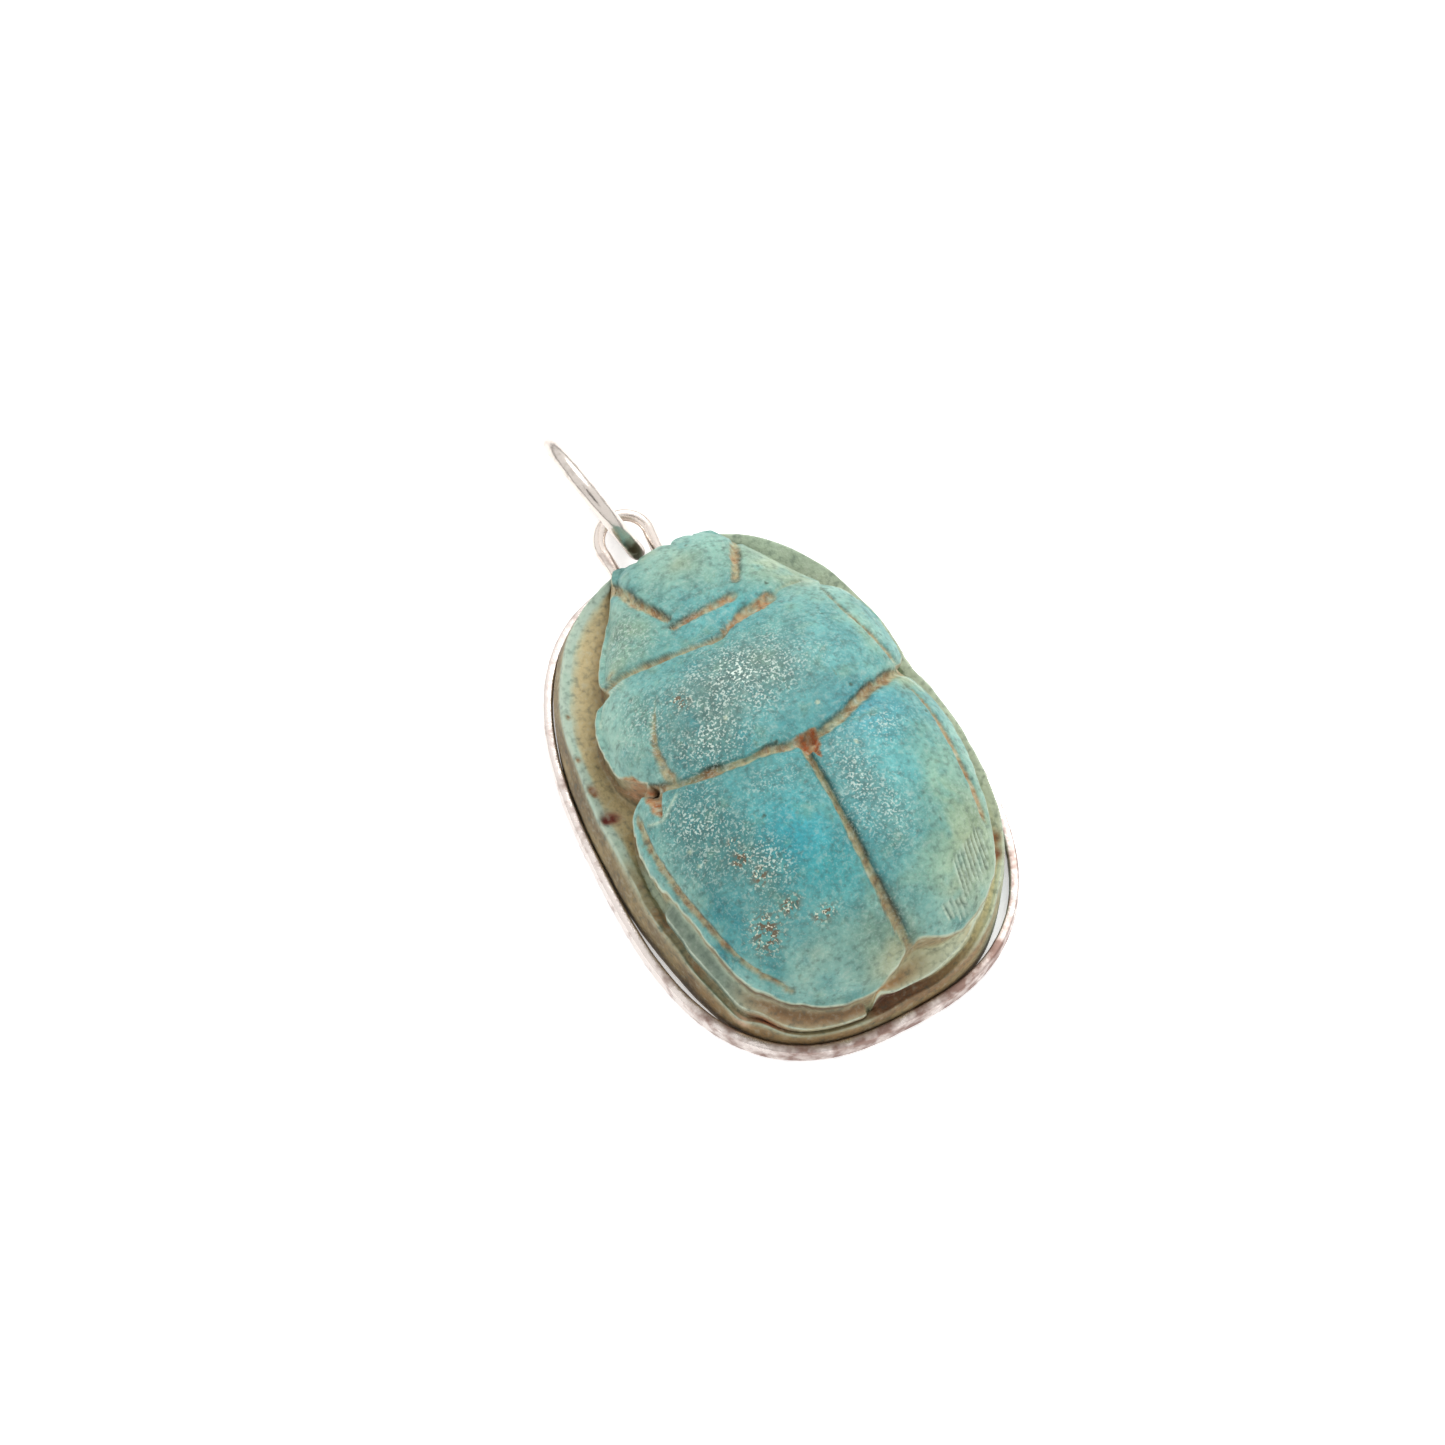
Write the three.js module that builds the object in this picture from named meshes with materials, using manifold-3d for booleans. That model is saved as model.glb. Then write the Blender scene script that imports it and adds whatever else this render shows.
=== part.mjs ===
// A carved scarab amulet in a silver band, with an eyelet and a loose ring to hang it by.
// Millimetres. The origin is the centre of the stone's flat underside, +Y points to the beetle's head, +Z up.
import * as THREE from "three";
import { mergeVertices } from "three/addons/utils/BufferGeometryUtils.js";
import Module from "manifold-3d";

// Stone
const stoneLength = 26.2;
const stoneWidth = 18.0;
const stoneHeight = 9.3;
const stoneRoundness = 2.66;
const headNarrowing = 0.08;
const baseHeight = 3.5;

// Silver band round the stone
const fitGap = 0.06;
const bandThickness = 0.5;
const bandHeight = 1.1;

// Eyelet on the head end of the band
const eyeletInner = 2.0;
const eyeletWire = 0.65;
const eyeletAcross = 0.25;
const eyeletTilt = 13;
const eyeletStandOff = 0.38;
const solderGap = 0.03;

// Loose ring through the eyelet
const ringOuter = 7.8;
const ringWire = 0.85;
const ringLean = 15;
const ringTurn = 7.4;
const ringBeyond = 0.43;
const ringToHead = 0.02;
const floorClearance = 0.01;

// The carving keeps its proportions: its measures below are millimetres on a stone of the size in this line.
const drawn = { length: 26.2, width: 18.0, height: 9.3, base: 3.5 };
const alongScale = stoneLength / drawn.length;
const acrossScale = stoneWidth / drawn.width;

// Beetle's back: wing cases, chest plate and head, each with its centre, reaches and roundness
const wings = { x: 0.7, y: -4.0, left: 8.9, right: 7.6, long: 8.5, n: 2.5 };
const chest = { x: 0.7, y: 1.8, left: 7.65, right: 7.25, long: 6.9, n: 2.6 };
const head = { x: 0.75, y: 7.0, wide: 6.1, narrow: 2.5, front: 12.95 };
const sight = { x: 0.4, y: -0.5 };

// Wear and notches of the outlines: direction in degrees, how far outwards, and width in degrees
const baseWear = [
  { at: 213, out: -0.32, width: 17 },
  { at: 302, out: -0.3, width: 12 },
];
const ledgeWear = [
  { at: 14, out: -0.28, width: 9 },
  { at: 48, out: 0.1, width: 10 },
  { at: 115, out: -0.22, width: 12 },
  { at: 127, out: -0.2, width: 8 },
  { at: 150, out: -0.3, width: 16 },
  { at: 182, out: -0.35, width: 18 },
];
const bodyWear = [
  { at: 10, out: -0.3, width: 4 },
  { at: 32, out: 0.15, width: 11 },
  { at: 50, out: -0.3, width: 4 },
  { at: 118, out: 0.42, width: 9 },
  { at: 130, out: -0.6, width: 4 },
  { at: 140, out: 0.38, width: 12 },
  { at: 166, out: -0.8, width: 5 },
  { at: 214, out: -0.5, width: 14 },
  { at: 254, out: 0.3, width: 11 },
  { at: 274, out: -0.66, width: 7.5 },
  { at: 290, out: -0.12, width: 8 },
  { at: 318, out: -0.5, width: 16 },
];

// Ledge round the body: a pale strip outside a channel, and two hind legs that lie in it at the tail
const ledgeBevel = 0.12;
const stripWidth = { bare: 0.5, beside: 0.25 };
const channelDepth = { bare: 0.34, beside: 0.14 };
const leftLeg = { from: 197, full: 206, to: 260, rise: 1.03 };
const rightLeg = { from: 338, full: 300, to: 261, rise: 1.3 };
const legGap = 0.3;
const footHollow = 0.3;
const joinWidth = 0.8;
const grooveWidth = 0.34;
const grooveDepth = 0.3;

const around = 104;
const domeRings = 11;
const domeSpread = 1.5;
const rimBevel = 0.07;
const grooveStep = 1.7;
const DEG = Math.PI / 180;

const wasm = await Module();
wasm.setup();

const clamp01 = (t) => Math.min(1, Math.max(0, t));
const mix = (a, b, t) => a + (b - a) * t;
const smooth = (a, b, t) => {
  const s = clamp01((t - a) / (b - a));
  return s * s * (3 - 2 * s);
};
const bump = (t, at, width) => Math.exp(-(((t - at) / width) ** 2));

// Shortest difference between two directions
const turn = (a, b) => Math.atan2(Math.sin(a - b), Math.cos(a - b));

// Is the point inside a rounded oval that narrows towards the head?
function insideOval(x, y, halfWidth, halfLength) {
  const v = y / halfLength;
  const u = x / (halfWidth * (1 - headNarrowing * v));
  return Math.abs(u) ** stoneRoundness + Math.abs(v) ** stoneRoundness < 1;
}

// Share of the way from a rounded form's centre to its outline: 1 on the outline
function shareOf(x, y, s) {
  const u = Math.abs(x - s.x) / (x < s.x ? s.left : s.right);
  const v = Math.abs(y - s.y) / s.long;
  return (u ** s.n + v ** s.n) ** (1 / s.n);
}

// The lines where the chest meets the wing cases, and the head meets the chest
const wingLine = (x) => -1.5 + 0.049 * (x - wings.x) ** 2;
const neckLine = (x) => 6.4 + 0.02 * (x - chest.x) ** 2;

const headShare = (y) => (y - head.y) / (head.front - head.y);
const headWidth = (y) => mix(head.wide, head.narrow, headShare(y));

function insideHead(x, y) {
  const lip = head.front - 0.1 * (x - head.x) + 0.12 * Math.cos(5 * (x - head.x));
  return y < lip && Math.abs(x - head.x) < headWidth(y);
}

function insideBody(x, y) {
  if (y > neckLine(x)) return insideHead(x, y);
  return shareOf(x, y, y > wingLine(x) ? chest : wings) < 1;
}

// Outermost crossing of a ray with a shape
function reach(angle, inside, from) {
  const dx = Math.cos(angle);
  const dy = Math.sin(angle);
  let far = 20;
  while (far > 0 && !inside(from.x + dx * far, from.y + dy * far)) far -= 0.1;
  let near = far;
  far += 0.1;
  for (let i = 0; i < 20; i++) {
    const half = (near + far) / 2;
    if (inside(from.x + dx * half, from.y + dy * half)) near = half;
    else far = half;
  }
  return near;
}

const at = (angle, r) => new THREE.Vector2(sight.x + r * Math.cos(angle), sight.y + r * Math.sin(angle));

// An outline's reach in a direction once its wear is taken off
const worn = (angle, r, wear) =>
  wear.reduce((sum, w) => sum + w.out * bump(turn(angle, w.at * DEG) / DEG, 0, w.width), r);

function stoneReach(angle) {
  const inside = (x, y) => insideOval(x, y, drawn.width / 2, drawn.length / 2);
  return worn(angle, reach(angle, inside, sight), baseWear);
}

const bodyReach = (angle) => worn(angle, reach(angle, insideBody, sight), bodyWear);

// Height of the base's upper edge: level on the flanks, falling at the tail, a little higher on the right
function edgeHeight(x, y) {
  const fall = 1.7 * smooth(-5, -12, y) * mix(1, 0.72, smooth(1.5, 4, x));
  return drawn.base + 0.045 * x - fall;
}

// Height of the rim of the wing cases and the chest
const rimHeight = (x, y) => 5.4 + 0.035 * x - 1.0 * smooth(-5, -12.5, y);

// Rounding of a form from its middle, 1, to its rim, 0
const rounding = (share) => (1 - clamp01(share) ** 2.7) ** 0.72;

function headHeight(x, y) {
  const v = clamp01(headShare(y));
  const u = Math.abs(x - head.x) / headWidth(y);
  const wornCheek = smooth(3, 6.5, x);
  const low = 5.2 - 1.2 * v + 0.035 * x - 0.9 * wornCheek;
  const high = 7.0 - 2.1 * v ** 1.2 - 0.5 * wornCheek;
  return low + (high - low) * (1 - clamp01(u ** 3 + v ** 9)) ** 0.6;
}

function domeHeight(x, y, form) {
  const low = rimHeight(x, y);
  const high = drawn.height - 1.2 * smooth(2, 7, y) - 0.25 * smooth(-2, -9, y);
  return low + (high - low) * rounding(shareOf(x, y, form));
}

// The back's surface above a point of the plan
function backHeight(x, y) {
  const toChest = smooth(-joinWidth, joinWidth, y - wingLine(x));
  const toHead = smooth(-joinWidth, joinWidth, y - neckLine(x));
  const trunk = mix(domeHeight(x, y, wings), domeHeight(x, y, chest), toChest);
  return mix(trunk, headHeight(x, y), toHead);
}

// 1 where a hind leg lies in the channel: both start on a flank and end bluntly at the tail
function legShare(angle, leg) {
  const degrees = angle / DEG;
  const blunt = leg.to + (leg.to > leg.from ? -1.5 : 1.5);
  return smooth(leg.from, leg.full, degrees) * smooth(leg.to, blunt, degrees);
}

// Places in the drawn measures become places in the stone: the base follows its own height
const spot = (p, z) => new THREE.Vector3(p.x * acrossScale, p.y * alongScale, z);
const baseLift = (p, z) => spot(p, (z * baseHeight) / drawn.base);
const backShare = (stoneHeight - baseHeight) / (drawn.height - drawn.base);
const lift = (p, z) => spot(p, baseHeight + (z - drawn.base) * backShare);

// Closed skin over rings of points; the first and the last ring are closed by a fan to their centres.
function skin(rings) {
  const n = rings[0].length;
  const centre = (ring) => ring.reduce((sum, p) => sum.add(p), new THREE.Vector3()).divideScalar(n);
  const points = [centre(rings[0]), ...rings.flat(), centre(rings[rings.length - 1])];
  const faces = [];
  const id = (ring, i) => 1 + ring * n + (i % n);
  const last = points.length - 1;
  for (let i = 0; i < n; i++) {
    faces.push(0, id(0, i + 1), id(0, i));
    faces.push(last, id(rings.length - 1, i), id(rings.length - 1, i + 1));
    for (let k = 0; k + 1 < rings.length; k++) {
      faces.push(id(k, i), id(k, i + 1), id(k + 1, i + 1));
      faces.push(id(k, i), id(k + 1, i + 1), id(k + 1, i));
    }
  }
  return geometryOf(points, faces);
}

// Closed skin round a loop of sections, each a closed ring of points
function loop(sections) {
  const n = sections[0].length;
  const m = sections.length;
  const faces = [];
  const id = (k, i) => (k % m) * n + (i % n);
  for (let k = 0; k < m; k++) {
    for (let i = 0; i < n; i++) {
      faces.push(id(k, i), id(k + 1, i), id(k + 1, i + 1));
      faces.push(id(k, i), id(k + 1, i + 1), id(k, i + 1));
    }
  }
  return geometryOf(sections.flat(), faces);
}

function geometryOf(points, faces) {
  const g = new THREE.BufferGeometry();
  g.setAttribute("position", new THREE.Float32BufferAttribute(points.flatMap((p) => p.toArray()), 3));
  g.setIndex(faces);
  return g;
}

function solid(geometry) {
  const g = geometry.clone();
  g.deleteAttribute("normal");
  g.deleteAttribute("uv");
  const merged = mergeVertices(g, 1e-4);
  return new wasm.Manifold(
    new wasm.Mesh({
      numProp: 3,
      vertProperties: merged.attributes.position.array,
      triVerts: new Uint32Array(merged.index.array),
    }),
  );
}

function fromSolid(made) {
  const m = made.getMesh();
  const g = new THREE.BufferGeometry();
  g.setAttribute("position", new THREE.BufferAttribute(new Float32Array(m.vertProperties), 3));
  g.setIndex(new THREE.BufferAttribute(new Uint32Array(m.triVerts), 1));
  return g;
}

// The stone without its grooves: underside, base, legs and back as rings of one skin
function stoneBody() {
  const angles = Array.from({ length: around }, (_, i) => (360 * i * DEG) / around);
  const base = angles.map(stoneReach);
  const body = angles.map(bodyReach);
  const ring = (radius, height, place = lift) =>
    angles.map((a, i) => {
      const p = at(a, radius(a, i));
      return place(p, height(p, a, i));
    });
  const left = (a) => legShare(a, leftLeg);
  const right = (a) => legShare(a, rightLeg);
  const legs = (a) => Math.max(left(a), right(a));
  const inset = (a, i) => worn(a, base[i] - ledgeBevel, ledgeWear);
  const foot = (a, i) => Math.min(body[i] - 0.3, inset(a, i) - 0.6);
  const wallFoot = (a, i) => foot(a, i) + 0.14;
  const legEdge = (a, i) => Math.max(wallFoot(a, i), mix(wallFoot(a, i), inset(a, i) - legGap, legs(a)));
  const legFoot = (a, i) => Math.max(foot(a, i) + 0.05, Math.min(legEdge(a, i), inset(a, i) - footHollow));
  const strip = (a, i) =>
    Math.max(inset(a, i) - mix(stripWidth.bare, stripWidth.beside, legs(a)), legFoot(a, i) + 0.06);
  const rim = (a, i) => Math.min(body[i], base[i] - 0.05);
  const edge = (p) => edgeHeight(p.x, p.y);
  const top = (p) => backHeight(p.x, p.y);
  const channel = (p, a) => edge(p) - mix(channelDepth.bare, channelDepth.beside, legs(a));
  const legUp = (p, a) => edge(p) - 0.28 + leftLeg.rise * left(a) + rightLeg.rise * right(a);
  const rings = [
    ring((a, i) => base[i] * 0.5, () => 0, baseLift),
    ring((a, i) => base[i] - 0.15, () => 0, baseLift),
    ring((a, i) => base[i], () => 0.15, baseLift),
    ring((a, i) => base[i], (p) => 0.6 * edge(p), baseLift),
    ring(inset, edge, baseLift),
    ring(strip, (p) => edge(p) - 0.06, baseLift),
    ring(legFoot, channel, baseLift),
    ring(legEdge, legUp, baseLift),
    ring(foot, (p, a) => legUp(p, a) + mix(0.2, 0.35, legs(a)), baseLift),
    ring((a, i) => foot(a, i) + 0.06, (p, a) => mix(legUp(p, a), top(p), 0.7)),
    ring(rim, (p) => top(p) - 0.22),
  ];
  for (let k = 0; k <= domeRings; k++) {
    const f = 1 - (k / (domeRings + 1)) ** domeSpread;
    rings.push(ring((a, i) => (rim(a, i) - rimBevel) * f, top));
  }
  return skin(rings);
}

// Outward direction of the back's surface
function backNormal(x, y) {
  const d = 0.15;
  const dx = (backHeight(x + d, y) - backHeight(x - d, y)) / (2 * d);
  const dy = (backHeight(x, y + d) - backHeight(x, y - d)) / (2 * d);
  const steep = Math.max(1, Math.hypot(dx, dy) / 1.5);
  return new THREE.Vector3(-dx / steep, -dy / steep, 1).normalize();
}

// A V-shaped cutter that follows the back between points of the plan
function groove(plan, width = grooveWidth, depth = grooveDepth) {
  const path = new THREE.CatmullRomCurve3(plan.map(([x, y]) => new THREE.Vector3(x, y, 0)));
  const steps = Math.max(3, Math.round(path.getLength() / grooveStep));
  const rings = [];
  for (let k = 0; k <= steps; k++) {
    const p = path.getPoint(k / steps);
    p.z = backHeight(p.x, p.y);
    const up = backNormal(p.x, p.y);
    const side = up.clone().cross(path.getTangent(k / steps)).normalize();
    const corner = (across, high) => {
      const q = p.clone().addScaledVector(side, across).addScaledVector(up, high);
      return lift(q, q.z);
    };
    rings.push([corner(0, -depth), corner(width, depth), corner(-width, depth)]);
  }
  const made = solid(skin(rings));
  return made.volume() > 0 ? made : solid(skin(rings.reverse()));
}

const grooves = [
  {
    name: "between wing cases and chest",
    plan: [
      [-7.3, 1.5], [-5.3, 0.1], [-2.3, -0.9], [0.7, -1.4], [2.3, -1.3], [4.4, -0.6], [6.7, 0.2], [8.0, 0.8],
    ],
  },
  { name: "between the wing cases", plan: [[0.68, -1.4], [0.6, -5.5], [0.5, -9], [0.9, -12.6]], width: 0.4 },
  { name: "between chest and head", plan: [[-5.8, 6.9], [-2.7, 6.3], [0.3, 5.8], [2.2, 6.6], [5.8, 7.3]] },
  { name: "left of the snout", plan: [[-3.0, 12.6], [-2.1, 10.8], [-1.2, 8.3]] },
  { name: "right of the snout", plan: [[4.5, 11.8], [3.7, 10.3], [2.7, 8.6]] },
  { name: "across the brow", plan: [[-1.2, 7.7], [0.3, 7.7], [2.1, 7.8]] },
  { name: "left chest border", plan: [[-4.1, 4.7], [-5.0, 3.1], [-5.2, 1.5], [-5.1, 0.2]] },
  { name: "right chest border", plan: [[6.0, 6.3], [6.4, 4.1], [6.9, 2.4], [7.2, 0.9]] },
  { name: "left wing border", plan: [[-7.4, 0.2], [-7.6, -3.2], [-7.2, -6.7], [-6.1, -9.7], [-5.2, -10.9]] },
  { name: "right wing border", plan: [[7.3, -0.9], [7.4, -3.7], [7.1, -7.0], [6.7, -9.0]] },
];

function stone() {
  let made = solid(stoneBody());
  for (const g of grooves) made = made.subtract(groove(g.plan, g.width));
  return fromSolid(made);
}

// Point of the band's inner outline, moved outwards by a distance
function bandPoint(t, outwards) {
  const halfWidth = stoneWidth / 2 + fitGap;
  const halfLength = stoneLength / 2 + fitGap;
  const power = 2 / stoneRoundness;
  const outline = (s) => {
    const y = Math.sign(Math.sin(s)) * Math.abs(Math.sin(s)) ** power;
    const x = Math.sign(Math.cos(s)) * Math.abs(Math.cos(s)) ** power;
    return new THREE.Vector2(x * halfWidth * (1 - headNarrowing * y), y * halfLength);
  };
  const nudge = 0.01;
  const tangent = outline(t + nudge).sub(outline(t - nudge)).normalize();
  return outline(t).add(new THREE.Vector2(tangent.y, -tangent.x).multiplyScalar(outwards));
}

function band() {
  const count = 96;
  const round = 0.12;
  const section = [
    [0, round],
    [round, 0],
    [bandThickness - round, 0],
    [bandThickness, round],
    [bandThickness, bandHeight - round],
    [bandThickness - round, bandHeight],
    [round, bandHeight],
    [0, bandHeight - round],
  ];
  const sections = Array.from({ length: count }, (_, k) => {
    const t = (2 * Math.PI * (k + 0.5)) / count;
    return section.map(([out, z]) => {
      const p = bandPoint(t, out);
      return new THREE.Vector3(p.x, p.y, z);
    });
  });
  return loop(sections);
}

// Round wire along a path of points, closed flat at its two ends
function wire(points, thickness, sides = 8) {
  const path = new THREE.CatmullRomCurve3(points);
  const steps = 2 * points.length;
  const frames = path.computeFrenetFrames(steps, false);
  const rings = Array.from({ length: steps + 1 }, (_, k) => {
    const centre = path.getPointAt(k / steps);
    return Array.from({ length: sides }, (_, i) => {
      const a = (2 * Math.PI * i) / sides;
      return centre
        .clone()
        .addScaledVector(frames.normals[k], (thickness / 2) * Math.cos(a))
        .addScaledVector(frames.binormals[k], (thickness / 2) * Math.sin(a));
    });
  });
  const made = solid(skin(rings));
  return fromSolid(made.volume() > 0 ? made : solid(skin(rings.reverse())));
}

// Eyelet: two short legs that leave the band's face, joined by a round bow, tilted up a little
const bandFace = stoneLength / 2 + fitGap + bandThickness;
const eyeletRadius = (eyeletInner + eyeletWire) / 2;
const eyeletRise = Math.tan(eyeletTilt * DEG);
const bowCentre = eyeletRadius + eyeletStandOff;
const eyeletOut = new THREE.Vector3(0, Math.cos(eyeletTilt * DEG), Math.sin(eyeletTilt * DEG));
const eyeletFoot = new THREE.Vector3(eyeletAcross, bandFace, bandHeight * 0.55);
const eyeletPoint = (x, out) => eyeletFoot.clone().addScaledVector(eyeletOut, out).setX(eyeletAcross + x);

function eyelet() {
  const clear = solderGap + (eyeletWire / 2) * eyeletRise;
  const leg = eyeletRadius - 0.12;
  const points = [eyeletPoint(-leg, clear), eyeletPoint(-leg - 0.03, bowCentre * 0.45)];
  for (let degrees = 195; degrees >= -15; degrees -= 21) {
    const a = degrees * DEG;
    points.push(eyeletPoint(eyeletRadius * Math.cos(a), bowCentre + eyeletRadius * Math.sin(a)));
  }
  points.push(eyeletPoint(leg + 0.03, bowCentre * 0.45), eyeletPoint(leg, clear));
  return wire(points, eyeletWire);
}

// Loose ring: it stands on its edge, leans to the left and passes through the eyelet
const ringRadius = (ringOuter - ringWire) / 2;
const ringSide = new THREE.Vector3(-Math.sin(ringTurn * DEG), Math.cos(ringTurn * DEG), 0);
const ringUp = new THREE.Vector3(0, 0, 1).applyAxisAngle(ringSide, -ringLean * DEG);

function looseRing() {
  const bow = eyeletPoint(0, bowCentre + eyeletRadius);
  const lowest = new THREE.Vector3(bow.x, bow.y + ringBeyond, floorClearance + ringWire / 2);
  const centre = lowest.addScaledVector(ringUp, ringRadius);
  const nearest = stoneLength / 2 + ringToHead + ringOuter / 2;
  centre.y = Math.max(centre.y, nearest);
  const ring = new THREE.TorusGeometry(ringRadius, ringWire / 2, 10, 48);
  const turned = new THREE.Matrix4().makeBasis(ringSide, ringUp, ringSide.clone().cross(ringUp));
  ring.applyMatrix4(turned.setPosition(centre));
  return fromSolid(solid(ring));
}

const meshes = new THREE.Group();
meshes.name = "scarab_amulet";

function add(name, geometry, look) {
  const mesh = new THREE.Mesh(geometry, new THREE.MeshStandardMaterial(look));
  mesh.name = name;
  meshes.add(mesh);
  return mesh;
}

const silver = { color: 0xcfc6c1, roughness: 0.35, metalness: 1 };
add("scarab", stone(), { color: 0x6fb3b4, roughness: 0.7, metalness: 0 });
add("bezel", band(), silver);
add("eyelet", eyelet(), silver);
add("jump_ring", looseRing(), silver);

export default meshes;
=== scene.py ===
"""A carved and glazed scarab amulet in a silver band, with an eyelet and a loose ring.

Each node of the frame is replaced by a finely worked piece of the same size.
Lengths are millimetres until a mesh is made. +Y points to the beetle's head, and
a direction round the stone is in degrees anticlockwise from +X, seen from above.
"""

import bmesh
import bpy
import numpy as np
from mathutils import Matrix, Vector


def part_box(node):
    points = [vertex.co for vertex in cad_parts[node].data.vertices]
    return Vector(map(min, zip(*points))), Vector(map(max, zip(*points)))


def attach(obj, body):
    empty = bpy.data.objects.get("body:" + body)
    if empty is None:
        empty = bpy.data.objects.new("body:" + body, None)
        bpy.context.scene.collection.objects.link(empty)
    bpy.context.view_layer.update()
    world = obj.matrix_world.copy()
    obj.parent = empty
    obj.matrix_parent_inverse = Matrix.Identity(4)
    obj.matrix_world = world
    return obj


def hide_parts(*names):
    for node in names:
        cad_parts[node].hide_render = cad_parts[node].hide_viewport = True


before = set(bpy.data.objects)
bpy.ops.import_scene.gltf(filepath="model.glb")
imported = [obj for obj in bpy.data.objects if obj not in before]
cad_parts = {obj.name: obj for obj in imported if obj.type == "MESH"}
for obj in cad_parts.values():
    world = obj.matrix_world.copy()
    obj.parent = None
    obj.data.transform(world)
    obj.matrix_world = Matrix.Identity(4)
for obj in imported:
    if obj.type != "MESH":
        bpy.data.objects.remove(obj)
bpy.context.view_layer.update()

MM = 0.001

# The stone as the solids draw it
LENGTH = 26.2
WIDTH = 18.0
HEIGHT = 9.3
BASE = 3.5
ROUNDNESS = 2.66
NARROWING = 0.08
WINGS = {"x": 0.7, "y": -4.0, "left": 8.9, "right": 7.6, "long": 8.5, "n": 2.5}
CHEST = {"x": 0.7, "y": 1.8, "left": 7.65, "right": 7.25, "long": 6.9, "n": 2.6}
HEAD = {"x": 0.75, "y": 7.0, "wide": 6.1, "narrow": 2.5, "front": 12.95}
# Middle from which directions are taken, and how softly the back's parts join
SIGHT = np.array([0.4, -0.5])
JOIN = 0.8

# Silver
FIT_GAP = 0.06
BAND_WALL = 0.5
BAND_HEIGHT = 1.1
EYELET_INNER = 2.0
EYELET_WIRE = 0.65
EYELET_TILT = 13
EYELET_STAND_OFF = 0.38
SOLDER_GAP = 0.03
RING_OUTER = 7.8
RING_WIRE = 0.85
RING_LEAN = 15
RING_TURN = 7.4

# Border line of the underside: how far in from the edge, and its width
BORDER_INSET = 1.3
BORDER_WIDTH = 0.2

# Mesh of the stone; the rings by the border line lie so far in from the edge
AROUND = 560
DISC_RINGS = 9
BORDER_RINGS = [1.75, 1.6, 1.5, 1.4, 1.3, 1.2, 1.1, 1.0, 0.8]
UNDER_RINGS = DISC_RINGS + len(BORDER_RINGS)
DOME_RINGS = 96


def clamp01(t):
    return np.clip(t, 0.0, 1.0)


def mix(a, b, t):
    return a + (b - a) * t


def smooth(a, b, t):
    s = clamp01((t - a) / (b - a))
    return s * s * (3 - 2 * s)


def between(t, start, full, fading, end):
    """1 from full to fading, 0 before start and after end."""
    return smooth(start, full, t) * smooth(end, fading, t)


def bump(distance, width):
    return np.exp(-((distance / width) ** 2))


def turn(a, b):
    """Shortest difference between two directions, in degrees."""
    return (a - b + 180.0) % 360.0 - 180.0


def lattice(i, j, k, seed):
    """A repeatable number from 0 to 1 for each corner of a lattice."""
    h = (i * 73856093) ^ (j * 19349663) ^ (k * 83492791) ^ (seed * 2654435)
    h = ((h ^ (h >> 13)) * 1274126177) & 0xFFFFFFFF
    return ((h ^ (h >> 16)) & 0xFFFF) / 65535.0


def noise(p, size, seed):
    """Smooth noise from -1 to 1 whose lumps are about size across."""
    q = p / size
    cell = np.floor(q).astype(np.int64)
    f = q - cell
    f = f * f * (3 - 2 * f)
    total = 0.0
    for a, b, c in np.ndindex(2, 2, 2):
        share = (f[..., 0] if a else 1 - f[..., 0]) * (f[..., 1] if b else 1 - f[..., 1])
        share = share * (f[..., 2] if c else 1 - f[..., 2])
        corner = lattice(cell[..., 0] + a, cell[..., 1] + b, cell[..., 2] + c, seed)
        total = total + share * corner
    return 2 * total - 1


def cloud(p, size, seed, octaves=3):
    """Noise with finer noise on it."""
    total = sum(noise(p, size / 2**o, seed + o) / 2**o for o in range(octaves))
    return total / (2 - 2.0 ** (1 - octaves))


# Form of the stone, as in the solids
def share_of(x, y, s):
    u = np.abs(x - s["x"]) / np.where(x < s["x"], s["left"], s["right"])
    v = np.abs(y - s["y"]) / s["long"]
    return (u ** s["n"] + v ** s["n"]) ** (1 / s["n"])


def wing_line(x):
    return -1.5 + 0.049 * (x - WINGS["x"]) ** 2


def neck_line(x):
    return 6.4 + 0.02 * (x - CHEST["x"]) ** 2


def head_share(y):
    return (y - HEAD["y"]) / (HEAD["front"] - HEAD["y"])


def head_width(y):
    return mix(HEAD["wide"], HEAD["narrow"], head_share(y))


def inside_oval(x, y):
    v = y / (LENGTH / 2)
    u = x / (WIDTH / 2 * (1 - NARROWING * v))
    return np.abs(u) ** ROUNDNESS + np.abs(v) ** ROUNDNESS < 1


# The snout's worn teeth: its front edge in the plan, from left to right
LIP = [
    (-3.0, 12.5), (-2.1, 12.55), (-1.75, 12.98), (-1.2, 12.95), (-0.66, 12.46), (-0.3, 12.74),
    (0.33, 12.84), (0.74, 12.89), (0.97, 12.79), (1.13, 12.6), (1.28, 12.52), (1.47, 12.76),
    (1.72, 12.84), (2.23, 12.75), (2.36, 12.52), (2.46, 12.44), (2.62, 12.63), (2.9, 12.65),
    (3.49, 12.51), (3.75, 12.37), (3.95, 12.13), (4.1, 11.8), (4.34, 11.42),
]


def lip_line(x):
    return np.interp(x, *np.transpose(LIP))


def inside_body(x, y):
    head = (y < lip_line(x)) & (np.abs(x - HEAD["x"]) < head_width(y))
    trunk = np.where(y > wing_line(x), share_of(x, y, CHEST) < 1, share_of(x, y, WINGS) < 1)
    return np.where(y > neck_line(x), head, trunk)


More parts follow.
